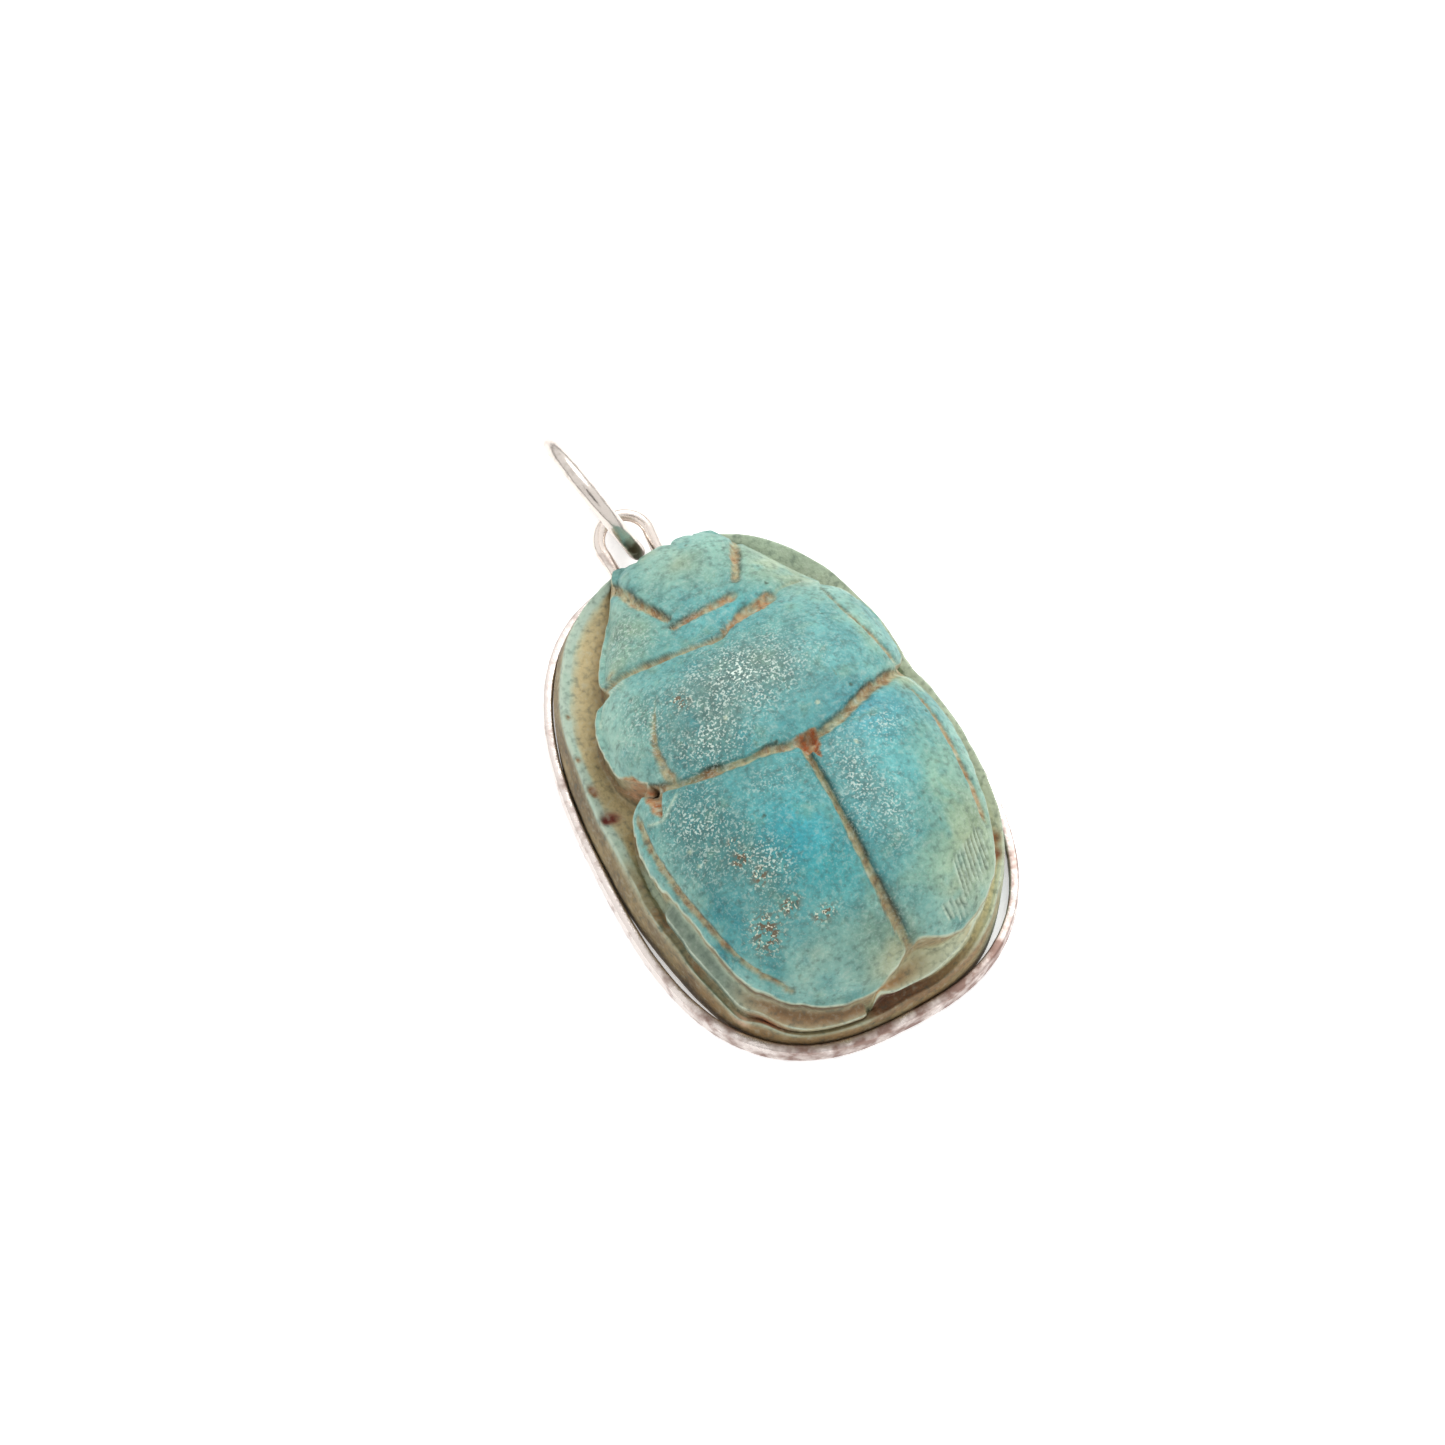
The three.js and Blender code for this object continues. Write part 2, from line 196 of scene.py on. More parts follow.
def reach(degrees, inside):
    """Outermost crossing of rays from the middle with a shape, halved in on 18 times."""
    dx = np.cos(np.radians(degrees))
    dy = np.sin(np.radians(degrees))
    step = 0.1
    steps = np.arange(0, 20, step)[:, None]
    hits = inside(SIGHT[0] + dx * steps, SIGHT[1] + dy * steps)
    near = step * (len(steps) - 1 - np.argmax(hits[::-1], axis=0))
    far = near + step
    for _ in range(18):
        half = (near + far) / 2
        hit = inside(SIGHT[0] + dx * half, SIGHT[1] + dy * half)
        near = np.where(hit, half, near)
        far = np.where(hit, far, half)
    return near


# Departures of an outline from its form: (direction, outwards, width in degrees)
BASE_WEAR = [(213, -0.32, 17), (302, -0.3, 12)]
LEDGE_WEAR = [
    (14, -0.28, 9), (48, 0.1, 10), (115, -0.22, 12), (127, -0.2, 8),
    (150, -0.3, 16), (182, -0.35, 18), (231, 0.1, 3), (236, -0.2, 4),
]
BODY_WEAR = [
    (32, 0.15, 11), (118, 0.42, 9), (140, 0.38, 12), (166, -0.75, 5),
    (130, -0.6, 2.6), (10, -0.3, 4), (50, -0.3, 4), (214, -0.5, 14),
    (254, 0.3, 11), (274, -0.66, 7.5), (290, -0.12, 8), (318, -0.5, 16),
]


def worn(degrees, radius, wear):
    for direction, outwards, width in wear:
        radius = radius + outwards * bump(turn(degrees, direction), width)
    return radius


def edge_height(x, y):
    """Upper edge of the base: it falls towards the tail."""
    fall = 1.7 * smooth(-5, -12, y) * mix(1.0, 0.72, smooth(1.5, 4.0, x))
    return BASE + 0.045 * x - fall


def rim_height(x, y):
    return 5.4 + 0.035 * x - 1.0 * smooth(-5, -12.5, y)


def head_height(x, y):
    v = clamp01(head_share(y))
    u = np.abs(x - HEAD["x"]) / head_width(y)
    worn_cheek = smooth(3.0, 6.5, x)
    low = 5.2 - 1.2 * v + 0.035 * x - 0.9 * worn_cheek
    high = 7.0 - 2.1 * v**1.2 - 0.5 * worn_cheek
    return low + (high - low) * (1 - clamp01(u**3 + v**9)) ** 0.6


def dome_height(x, y, form):
    low = rim_height(x, y)
    high = HEIGHT - 1.2 * smooth(2, 7, y) - 0.25 * smooth(-2, -9, y)
    return low + (high - low) * (1 - clamp01(share_of(x, y, form)) ** 2.7) ** 0.72


def back_height(x, y):
    to_chest = smooth(-JOIN, JOIN, y - wing_line(x))
    to_head = smooth(-JOIN, JOIN, y - neck_line(x))
    trunk = mix(dome_height(x, y, WINGS), dome_height(x, y, CHEST), to_chest)
    return mix(trunk, head_height(x, y), to_head)


# Directions of the middle leg, of the hollows by the tail, and of the place where the hind legs meet
MIDDLE_LEG = 162
LEFT_HOLLOW = 237
TAIL_HOLLOW = 267
LEGS_MEET = 260.2
# Rise of the hind legs above the ledge
LEFT_LEG_RISE = 1.03
RIGHT_LEG_RISE = 1.28


def left_leg(degrees):
    """1 where the left hind leg lies round the tail; it ends bluntly."""
    return between(degrees, 199, 205, 258.6, 260.0)


def right_leg(degrees):
    return between(degrees, 260.4, 262.5, 300, 338)


def lifted(plan):
    """Points of the plan on the back's surface."""
    x, y = np.array(plan, float).T
    return np.stack([x, y, back_height(x, y)], axis=1)


def curve(points, step):
    """Points about step apart on a smooth curve through the given points."""
    p = np.array(points, float)
    ends = np.vstack([2 * p[0] - p[1], p, 2 * p[-1] - p[-2]])
    out = []
    for a, b, c, d in zip(ends, ends[1:], ends[2:], ends[3:]):
        count = max(1, round(np.linalg.norm(c - b) / step))
        for t in np.arange(count)[:, None] / count:
            out.append(0.5 * (2 * b + (c - a) * t + (2 * a - 5 * b + 4 * c - d) * t**2
                              + (3 * b - a - 3 * c + d) * t**3)[None])
    return np.vstack([np.concatenate(out), p[-1:]])


# Grooves: plan, half width at both ends, depth, how full of earth and of red earth. edge is the
# strength of the painted shade along its left side, shadow the reach of a wider painted shade there
# at both ends, and grows the share of its run over which it deepens. earth and edge are 1 unless given
GROOVES = {
    "between wing cases and chest": {
        "plan": [(-7.4, 1.6), (-6.25, 0.79), (-5.29, 0.05), (-4.17, -0.37), (-2.28, -0.87),
                 (-0.77, -1.07), (0.66, -1.41), (2.32, -1.34), (3.4, -1.0), (4.44, -0.62),
                 (5.45, -0.25), (6.69, 0.2), (7.66, 0.65)],
        "width": (0.24, 0.38), "depth": 0.3, "red": 0.12,
    },
    "between the wing cases": {
        "plan": [(0.66, -1.6), (0.65, -2.88), (0.57, -5.42), (0.47, -7.53), (0.46, -9.48),
                 (0.59, -11.23), (0.85, -12.3)],
        "width": (0.22, 0.32), "depth": 0.34, "red": 0.05, "shadow": (0.22, 0.36),
    },
    "between chest and head": {
        "plan": [(-5.4, 6.9), (-4.44, 6.82), (-2.66, 6.32), (-1.19, 6.01), (0.28, 5.8), (0.9, 6.1)],
        "width": (0.26, 0.34), "depth": 0.24, "earth": 0.85, "red": 0.1,
    },
    "brow, lower": {
        "plan": [(0.81, 6.17), (2.19, 6.6), (3.61, 6.77)],
        "width": (0.36, 0.54), "depth": 0.3, "red": 0.5, "edge": 0.6,
    },
    "neck, right end": {
        "plan": [(3.61, 6.77), (4.5, 7.15), (5.6, 7.3)],
        "width": (0.2, 0.2), "depth": 0.14, "earth": 0.25, "red": 0.0, "edge": 0.2,
    },
    "brow, upper": {
        "plan": [(-1.21, 7.68), (0.3, 7.73), (2.14, 7.76)],
        "width": (0.22, 0.38), "depth": 0.24, "earth": 0.95, "red": 0.4,
    },
    "foot of the snout": {
        "plan": [(-1.2, 8.3), (-0.2, 8.62), (0.9, 8.74), (2.7, 8.5)],
        "width": (0.1, 0.12), "depth": 0.07, "earth": 0.05, "red": 0.0, "edge": 0.25,
    },
    "left of the snout": {
        "plan": [(-3.0, 12.6), (-2.27, 11.96), (-2.07, 10.46), (-1.62, 9.24), (-1.22, 8.26)],
        "width": (0.5, 0.24), "depth": 0.3, "red": 0.12,
    },
    "right of the snout": {
        "plan": [(4.5, 11.8), (3.93, 10.79), (3.31, 9.67), (2.73, 8.63)],
        "width": (0.36, 0.3), "depth": 0.26, "red": 0.2,
    },
    "left chest border": {
        "plan": [(-3.97, 4.4), (-4.98, 2.77), (-5.33, 1.66), (-5.36, 0.63), (-5.2, 0.1)],
        "width": (0.12, 0.42), "depth": 0.18, "earth": 0.9, "red": 0.1, "edge": 0.5, "grows": 0.5,
    },
    "right chest border": {
        "plan": [(6.07, 6.22), (6.36, 4.08), (6.85, 2.42), (7.21, 0.93)],
        "width": (0.06, 0.26), "depth": 0.16, "earth": 0.9, "red": 0.15, "edge": 0.6, "grows": 0.6,
    },
    "left wing border": {
        "plan": [(-7.36, 0.1), (-7.63, -1.72), (-7.61, -3.82), (-7.42, -5.57), (-7.07, -7.32),
                 (-6.61, -8.62), (-6.05, -9.72), (-5.1, -10.9)],
        "width": (0.34, 0.2), "depth": 0.18, "earth": 0.95, "red": 0.08, "edge": 0.7,
    },
    "right wing border": {
        "plan": [(7.2, -0.9), (7.41, -1.9), (7.45, -3.2), (7.36, -4.52), (7.12, -7.02), (6.93, -8.26)],
        "width": (0.18, 0.26), "depth": 0.16, "red": 0.35, "edge": 0.4,
    },
}

# Hollows with straight sides: depth, how full of red earth, and corners in the plan, anticlockwise
HOLLOWS = [
    (0.42, 1.2, [(0.15, -1.15), (1.12, -2.6), (1.75, -1.05)]),
    (0.5, 0.9, [(-6.72, -0.3), (-6.55, -0.9), (-5.8, 0.44), (-6.25, 1.08), (-6.6, 0.95)]),
    (0.34, 0.4, [(-7.25, 2.17), (-6.95, 1.0), (-6.53, 0.85), (-6.4, 1.52), (-6.73, 2.32), (-7.2, 2.65)]),
]

# Pits: place in the plan, radius, depth, and how brown they are
PITS = [
    (-4.6, -5.1, 0.16, 0.1, 0.6),
    (-3.42, -8.24, 0.16, 0.12, 0.6),
    (-1.2, 7.9, 0.14, 0.2, 1.0),
    (-6.4, 0.8, 0.16, 0.3, 1.2),
    (0.5, 5.9, 0.22, 0.2, 0.3),
    (7.1, -0.6, 0.2, 0.12, 0.5),
    (-4.9, 5.2, 0.1, 0.08, 0.6),
    (-1.6, -9.9, 0.1, 0.08, 0.6),
]

# File marks on the right wing case: starts of the first and the last of a group, their run, how many
FILE_MARKS = [
    ((4.5, -9.5), (6.3, -8.5), (-0.2, -1.8), 8),
    ((3.1, -11.05), (4.0, -11.0), (0.1, -0.8), 4),
]

# Spots on the ledge: place in the plan, reach, depth, colour
LEDGE_SPOTS = [
    (-8.15, 1.78, 0.24, 0.16, (108, 40, 30)),
    (-7.78, 1.74, 0.22, 0.2, (128, 50, 36)),
    (-7.99, 3.5, 0.2, 0.06, (164, 112, 76)),
    (-7.99, 3.2, 0.16, 0.06, (150, 104, 70)),
    (7.62, -8.1, 0.3, 0.05, (168, 116, 76)),
    (7.34, -8.8, 0.28, 0.05, (160, 104, 70)),
    (-7.86, 5.2, 0.14, 0.03, (150, 110, 72)),
    (-7.2, 7.4, 0.12, 0.03, (144, 116, 80)),
]

# Fine pale edges on the back, raised a little: worn pale, with a painted highlight along them
ARRISES = [
    [(5.2, 7.2), (6.3, 6.85), (7.0, 6.2), (7.5, 5.0)],
    [(-4.4, 6.5), (-5.6, 6.3), (-6.6, 5.2)],
    [(7.0, 0.35), (7.5, -0.3), (7.75, -1.2)],
    [(-5.3, -0.35), (-6.0, -0.75), (-6.6, -1.1), (-7.3, -0.6)],
]


def beside(points, path):
    """Distance to a path, the share of the way along it, and 1 on its left or -1 on its right."""
    best = np.full(len(points), np.inf)
    share = np.zeros(len(points))
    side = np.ones(len(points))
    for k, (a, b) in enumerate(zip(path, path[1:])):
        t = clamp01((points - a) @ (b - a) / ((b - a) @ (b - a)))
        gap = np.linalg.norm(points - a - t[:, None] * (b - a), axis=1)
        closer = gap < best
        best = np.where(closer, gap, best)
        share = np.where(closer, (k + t) / (len(path) - 1), share)
        across = (b[0] - a[0]) * (points[:, 1] - a[1]) - (b[1] - a[1]) * (points[:, 0] - a[0])
        side = np.where(closer, np.sign(across), side)
    return best, share, side


def within(points, corners):
    """How far inside a shape with straight sides a point of the plan is."""
    depth = np.full(len(points), np.inf)
    for a, b in zip(corners, corners[1:] + corners[:1]):
        side = np.subtract(b, a) / np.hypot(*np.subtract(b, a))
        from_side = side[0] * (points[:, 1] - a[1]) - side[1] * (points[:, 0] - a[0])
        depth = np.minimum(depth, from_side)
    return depth


def carving(p):
    """Relief of the back, and where earth, red earth, brown pits and painted shade, more painted shade,
    and worn edges with painted highlight lie.
    """
    relief, earth, red, brown_and_shade, shadow, pale_and_highlit_edges = np.zeros((6, len(p)))
    uneven = noise(p, 0.7, 11)
    ragged = noise(p, 0.28, 12)
    for g in GROOVES.values():
        gap, share, side = beside(p, lifted(curve(g["plan"], 0.5)))
        fade = 0.6 + 0.4 * between(share, 0, 0.06, 0.94, 1)
        fade = fade * smooth(-0.2, g.get("grows", -0.1), share)
        half = mix(g["width"][0], g["width"][1], share) * (1 + 0.25 * uneven + 0.2 * ragged) * 0.72
        cut = clamp01(1 - gap / (1.5 * half))
        relief -= g["depth"] * fade * cut**0.9 * (1 + 0.2 * uneven)
        fill = smooth(1.1, 0.6, gap / half) * (1 + 0.35 * ragged) * g.get("earth", 1.0) * fade
        earth = np.maximum(earth, clamp01(fill))
        red = np.maximum(red, fill * clamp01(g["red"] - 0.04 + 0.34 * uneven))
        # Painted shade along the left side of the groove
        one_side = np.where(side > 0, 1.0, 0.15)
        edge = g.get("edge", 1.0) * clamp01(0.5 + 0.9 * uneven)
        brown_and_shade = np.maximum(brown_and_shade, one_side * bump(gap - 0.95 * half, 0.08) * edge)
        if "shadow" in g:
            beyond = np.maximum(gap - 0.9 * half, 0)
            reached = mix(g["shadow"][0], g["shadow"][1], share)
            shadow = np.maximum(shadow, (side > 0) * bump(beyond, reached) * fade)
    for depth, red_share, corners in HOLLOWS:
        inner = within(p, corners) + 0.06 * ragged
        floor = smooth(-0.05, 0.3, inner)
        relief -= depth * floor * (1 + 0.3 * ragged)
        inside = smooth(-0.06, 0.06, inner)
        earth = np.maximum(earth, inside)
        red = np.maximum(red * (1 - inside), inside * red_share * (0.85 + 0.5 * ragged))
        brown_and_shade = brown_and_shade * (1 - inside)
    for x, y, radius, depth, brown in PITS:
        gap = np.linalg.norm(p - lifted([(x, y)]), axis=1) * (1 + 0.25 * ragged)
        relief -= depth * bump(gap, radius)
        brown_and_shade = np.maximum(brown_and_shade, brown * bump(gap, radius))
    rng = np.random.default_rng(5)
    for first, last, run, count in FILE_MARKS:
        for k in range(count):
            start = mix(np.array(first), np.array(last), k / (count - 1)) + rng.uniform(-0.03, 0.03, 2)
            end = start + np.array(run) * rng.uniform(0.8, 1.1)
            gap, share, _ = beside(p, lifted([start, (start + end) / 2, end]))
            ends = between(share, 0, 0.12, 0.88, 1)
            # Painted shade down the cut of each file mark, and a painted highlight along both its lips
            relief -= 0.12 * bump(gap, 0.08) * ends
            brown_and_shade = np.maximum(brown_and_shade, 0.42 * bump(gap, 0.06) * ends)
            pale_and_highlit_edges = np.maximum(pale_and_highlit_edges, 0.9 * bump(gap - 0.13, 0.07) * ends)
    for plan in ARRISES:
        gap, share, _ = beside(p, lifted(curve(plan, 0.4)))
        line = bump(gap, 0.09) * between(share, 0, 0.1, 0.9, 1)
        relief += 0.05 * line
        # Worn pale edge with a painted highlight along it
        pale_and_highlit_edges = np.maximum(pale_and_highlit_edges, 0.9 * line)
    return relief, earth, red, brown_and_shade, shadow, pale_and_highlit_edges


def small_pits(p, size, seed, few):
    """Scattered round pits: 1 in the middle of a pit."""
    cell = np.floor(p / size).astype(np.int64)
    best = np.zeros(len(p))
    for shift in np.ndindex(3, 3, 3):
        i, j, k = (cell + shift).T - 1
        nudge = [lattice(i, j, k, seed + s) for s in (1, 2, 3)]
        at = np.stack([i, j, k], axis=1) + np.stack(nudge, axis=1)
        gap = np.linalg.norm(p / size - at, axis=1)
        keep = lattice(i, j, k, seed + 4) < few
        best = np.maximum(best, keep * bump(gap, 0.3))
    return best


# How many rings each stretch of the stone's profile has, from its foot up to the rim of its back
STRETCHES = {
    "foot": 3,
    "side": 7,
    "shoulder": 5,
    "arris": 2,
    "strip": 6,
    "channel": 7,
    "leg face": 6,
    "leg arris": 2,
    "leg top": 7,
    "wall": 6,
    "overhang": 5,
    "rim": 3,
}
# Levels along the profile
LEDGE_ARRIS = 4.4
LEG_ARRIS = 8.4
BACK = 1 + len(STRETCHES)
BACK_ARRIS = BACK - 0.35


def stone_rings(degrees):
    """The stone without its carving: rings of points from the underside, up and over the back.

    level tells how far along the profile each ring is: below 1 on the underside, then a whole
    number at the start of each stretch, and from BACK to BACK + 1 on the back.
    """
    ray = np.stack([np.cos(np.radians(degrees)), np.sin(np.radians(degrees))], axis=1)
    base = worn(degrees, reach(degrees, inside_oval), BASE_WEAR)
    body = worn(degrees, reach(degrees, inside_body), BODY_WEAR)
    # Noise is taken on an oval, about where the outline is
    rough = np.stack([ray[:, 0] * 9, ray[:, 1] * 13, 0 * degrees], axis=1)
    body = body + 0.05 * noise(rough, 0.9, 21) + 0.04 * noise(rough, 0.35, 22)
    inset = worn(degrees, base - 0.12, LEDGE_WEAR) + 0.04 * noise(rough, 1.1, 23)
    left = left_leg(degrees)
    right = right_leg(degrees)
    legs = np.maximum(left, right)
    foot = np.minimum(body - 0.3, inset - 0.6)
    wall_foot = foot + 0.14
    left_gap = mix(0.42, 0.08, smooth(224, 246, degrees))
    right_gap = mix(0.3, 0.55, smooth(272, 300, degrees)) + 0.7 * bump(turn(degrees, 260.5), 4)
    gap = np.where(degrees < LEGS_MEET, left_gap, right_gap)
    leg_edge = np.maximum(wall_foot, mix(wall_foot, inset - gap, legs)) + 0.03 * noise(rough, 0.8, 24)
    undercut = mix(-0.12, 0.1, left) + 0.4 * bump(turn(degrees, 270), 10) + 0.15 * right
    leg_foot = np.clip(leg_edge - undercut, foot + 0.02, inset - 0.3)
    strip = np.maximum(inset - mix(0.5, 0.25, legs), leg_foot + 0.06)
    rim = np.minimum(body, base - 0.05)
    inner_rim = rim - 0.07
    chamfer = 0.15
    floor_depth = mix(0.34, 0.14, legs) + 0.2 * bump(turn(degrees, 236), 5)

    def place(radius, height):
        xy = SIGHT + ray * radius[:, None]
        return np.stack([xy[:, 0], xy[:, 1], height(xy[:, 0], xy[:, 1])], axis=1)

    def leg_up(x, y):
        middle_leg = bump(turn(degrees, MIDDLE_LEG), 6)
        right_rise = RIGHT_LEG_RISE + 0.2 * smooth(290, 262, degrees)
        return edge_height(x, y) - 0.28 + middle_leg + LEFT_LEG_RISE * left + right_rise * right

    def over_ground(up):
        return lambda x, y: 0 * x + up

    def over_ledge(up):
        return lambda x, y: edge_height(x, y) + up

    # Where each stretch of the profile starts, and the inner edge of the rim
    edges = [
        place(base - chamfer, over_ground(0)),
        place(base, over_ground(chamfer)),
        place(base, lambda x, y: 0.6 * edge_height(x, y)),
        place(inset, over_ledge(0)),
        place(inset - 0.1, over_ledge(0.03)),
        place(strip, over_ledge(-0.06)),
        place(leg_foot, over_ledge(-floor_depth)),
        place(leg_edge, lambda x, y: leg_up(x, y) - 0.08 * legs),
        place(leg_edge - 0.07, leg_up),
        place(foot, lambda x, y: leg_up(x, y) + mix(0.2, 0.35, legs)),
        place(foot + 0.06, lambda x, y: mix(leg_up(x, y), back_height(x, y), 0.7)),
        place(rim, lambda x, y: back_height(x, y) - 0.22),
        place(inner_rim, back_height),
    ]
    rings = []
    level = []
    for k in range(DISC_RINGS):
        f = 0.04 + 0.9 * k / DISC_RINGS
        rings.append(place((base - BORDER_RINGS[0]) * f, over_ground(0)))
        level.append(0.8 * f)
    for k, inwards in enumerate(BORDER_RINGS):
        rings.append(place(base - inwards, over_ground(0)))
        level.append(0.8 + 0.02 * k)
    for k, steps in enumerate(STRETCHES.values()):
        for t in np.arange(steps) / steps:
            rings.append(mix(edges[k], edges[k + 1], t))
            level.append(1 + k + t)
    for k in range(DOME_RINGS):
        f = 1 - (k / DOME_RINGS) ** 1.12
        rings.append(place(np.maximum(inner_rim * f, 0.08), back_height))
        level.append(BACK + 1 - f)
    rings = np.array(rings)
    # The edges are softened a little
    soft = slice(UNDER_RINGS + 1, len(rings) - DOME_RINGS + 3)
    rings[soft] = 0.6 * rings[soft] + 0.2 * (
        rings[soft.start - 1:soft.stop - 1] + rings[soft.start + 1:soft.stop + 1])
    return rings, np.array(level)


def ring_normals(rings):
    along = np.gradient(rings, axis=0)
    around = np.roll(rings, -1, axis=1) - np.roll(rings, 1, axis=1)
    n = np.cross(around, along)
    return n / np.maximum(np.linalg.norm(n, axis=2, keepdims=True), 1e-9)


def filled(points, node):
    """Points moved so that their box is the node's own box."""
    low, high = (np.array(c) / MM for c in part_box(node))
    flat = points.reshape(-1, 3)
    near = flat.min(axis=0)
    far = flat.max(axis=0)
    return low + (points - near) * (high - low) / (far - near)


def linear(colour):
    """Colour of 0 to 255 per channel as linear light."""
    c = np.array(colour, float) / 255
    return np.where(c < 0.04045, c / 12.92, ((c + 0.055) / 1.055) ** 2.4)


# Glaze: centre in the plan, reach across and along, colour, strength
PATCHES = [
    (4.4, -1.6, 2.0, 1.7, (84, 172, 190), 0.9),
    (4.3, -4.5, 1.8, 2.2, (112, 196, 198), 0.85),
    (-2.0, -5.9, 2.1, 2.4, (60, 178, 194), 0.9),
    (-1.2, -7.8, 1.4, 1.4, (62, 166, 172), 0.75),
    (1.5, -7.5, 0.8, 3.6, (78, 162, 168), 0.6),
    (-6.7, -7.6, 1.0, 2.4, (36, 144, 160), 0.9),
    (-5.6, -9.9, 1.3, 0.9, (62, 160, 168), 0.9),
    (-7.5, -1.8, 0.7, 2.2, (120, 192, 184), 0.7),
    (-2.8, -10.7, 3.0, 1.3, (122, 176, 168), 0.8),
    (-3.7, -10.5, 0.8, 0.5, (180, 208, 188), 0.7),
    (-0.6, -10.9, 1.5, 1.0, (132, 166, 146), 0.7),
    (-5.2, -3.3, 1.8, 3.0, (62, 120, 122), 0.85),
    (-3.0, -2.4, 1.9, 1.1, (100, 168, 168), 0.7),
    (-3.9, -6.3, 1.2, 1.3, (106, 146, 136), 0.6),
    (2.2, -5.0, 1.1, 3.0, (124, 168, 166), 0.6),
    (6.4, -8.0, 1.7, 2.6, (172, 186, 150), 0.95),
    (4.4, -9.9, 2.4, 1.4, (160, 194, 164), 0.85),
    (6.7, -5.2, 1.0, 2.2, (142, 190, 172), 0.8),
    (-0.2, 3.0, 3.8, 2.0, (132, 158, 150), 0.9),
    (-2.8, 1.4, 2.2, 1.3, (124, 156, 148), 0.75),
    (-6.0, 4.2, 1.4, 2.8, (158, 208, 194), 0.9),
    (5.4, 2.6, 1.8, 2.4, (120, 190, 190), 0.9),
    (0.6, 0.1, 2.6, 0.8, (114, 178, 178), 0.8),
    (2.8, 5.0, 2.6, 0.8, (126, 186, 178), 0.7),
    (2.2, 7.2, 1.9, 0.8, (110, 200, 204), 0.9),
    (1.0, 10.6, 2.4, 2.0, (140, 176, 158), 0.85),
    (2.9, 11.5, 1.1, 1.0, (126, 188, 178), 0.8),
    (0.1, 12.5, 0.7, 0.4, (166, 170, 134), 0.7),
    (1.2, 10.9, 0.8, 0.5, (158, 170, 138), 0.7),
    (-3.2, 8.7, 1.5, 1.7, (156, 182, 154), 0.9),
    (-4.7, 7.2, 0.8, 0.8, (150, 190, 172), 0.8),
    (5.0, 9.2, 1.8, 1.9, (168, 180, 142), 1.0),
    (5.9, 8.4, 1.6, 2.0, (170, 184, 150), 0.95),
    (4.4, 9.7, 0.7, 0.5, (142, 184, 168), 0.6),
    (7.3, 0.0, 0.8, 0.7, (176, 182, 138), 0.9),
    (0.6, -11.7, 0.9, 0.6, (164, 162, 122), 0.85),
    (8.1, -4.4, 0.4, 3.4, (140, 200, 190), 0.8),
    (-5.0, 7.3, 0.3, 0.25, (186, 132, 78), 0.9),
    (0.55, -10.3, 0.25, 0.7, (190, 176, 140), 0.6),
    (6.5, 3.0, 0.5, 2.2, (160, 196, 168), 0.7),
    (5.7, -9.4, 1.5, 1.9, (178, 184, 142), 0.95),
    (5.6, -6.6, 0.9, 1.9, (164, 196, 164), 0.7),
    (4.2, -10.8, 1.2, 0.8, (188, 198, 162), 0.8),
    (-0.3, -11.9, 1.5, 0.5, (194, 184, 142), 0.9),
    (-4.4, 7.6, 0.6, 0.5, (158, 184, 152), 0.7),
]
# Where grains of sand stand in the glaze: centre, reach, strength
SANDY = [
    (-0.3, 2.9, 4.0, 2.2, 1.0),
    (-2.8, 1.0, 2.4, 1.6, 0.8),
    (-5.2, -2.8, 1.9, 3.2, 0.75),
    (-3.6, -6.0, 1.5, 1.5, 0.7),
    (2.4, -5.0, 1.6, 3.4, 0.7),
    (-5.0, 3.4, 1.6, 2.4, 0.5),
    (-1.5, -2.5, 1.8, 1.0, 0.4),
    (4.6, -2.2, 1.6, 1.6, 0.45),
    (-3.2, 8.6, 1.6, 1.8, 0.45),
]
# Where the glaze is pitted: centre and reach
PITTED = [
    (-5.1, -8.5, 0.7, 0.8), (-3.6, -8.1, 0.5, 0.35), (-2.4, -9.2, 0.6, 0.3), (-4.2, -6.3, 0.4, 0.4),
    (-4.6, -5.1, 0.45, 0.35), (-4.5, -4.2, 0.25, 0.25), (-3.2, 3.4, 0.4, 0.5),
]
GLAZE = (104, 174, 174)
WORN_ARRIS_AND_HIGHLIGHT = (222, 236, 212)
EARTH = (222, 196, 150)
RED_EARTH = (214, 108, 58)
DARK_EARTH_AND_SHADE = (74, 66, 50)
SHADOW_TEAL = (38, 86, 88)
OCHRE = (222, 204, 154)
BROWN = (118, 98, 70)
PALE_LEDGE = (206, 230, 210)
OLIVE_LEDGE = (208, 224, 194)
LEG_BLUE = (144, 164, 146)
LEG_OCHRE = (184, 150, 110)
RED_BROWN = (124, 80, 62)
HOLLOW_BROWN = (176, 114, 78)
# Share of light that the colours give back below the back and on it
LOW_LIGHT = np.array([0.62, 0.62, 0.62])
BACK_LIGHT = np.array([0.59, 0.65, 0.64])


def blend(colour, other, amount):
    return mix(colour, np.array(other, float), clamp01(amount)[:, None])


def painted(colour, coats):
    for tint, amount in coats:
        colour = blend(colour, tint, amount)
    return colour


def patch_share(p, x, y, across, along):
    gap = np.hypot((p[:, 0] - x) / across, (p[:, 1] - y) / along)
    return bump(gap, 0.95)


def back_colour(p):
    """Colour of the glaze on the back; the patches have uneven outlines."""
    ragged = p + 0.5 * np.stack([cloud(p, 1.2, 31), cloud(p, 1.2, 41), 0 * p[:, 0]], axis=1)
    colour = np.array(GLAZE, float)
    for x, y, across, along, tint, strength in PATCHES:
        colour = blend(colour, tint, strength * patch_share(ragged, x, y, across, along))
    return colour


def on_ledge(level):
    return between(level, 3.6, 4.0, 7.0, 7.4)


def on_glaze(level):
    return smooth(BACK - 0.1, BACK + 0.05, level)


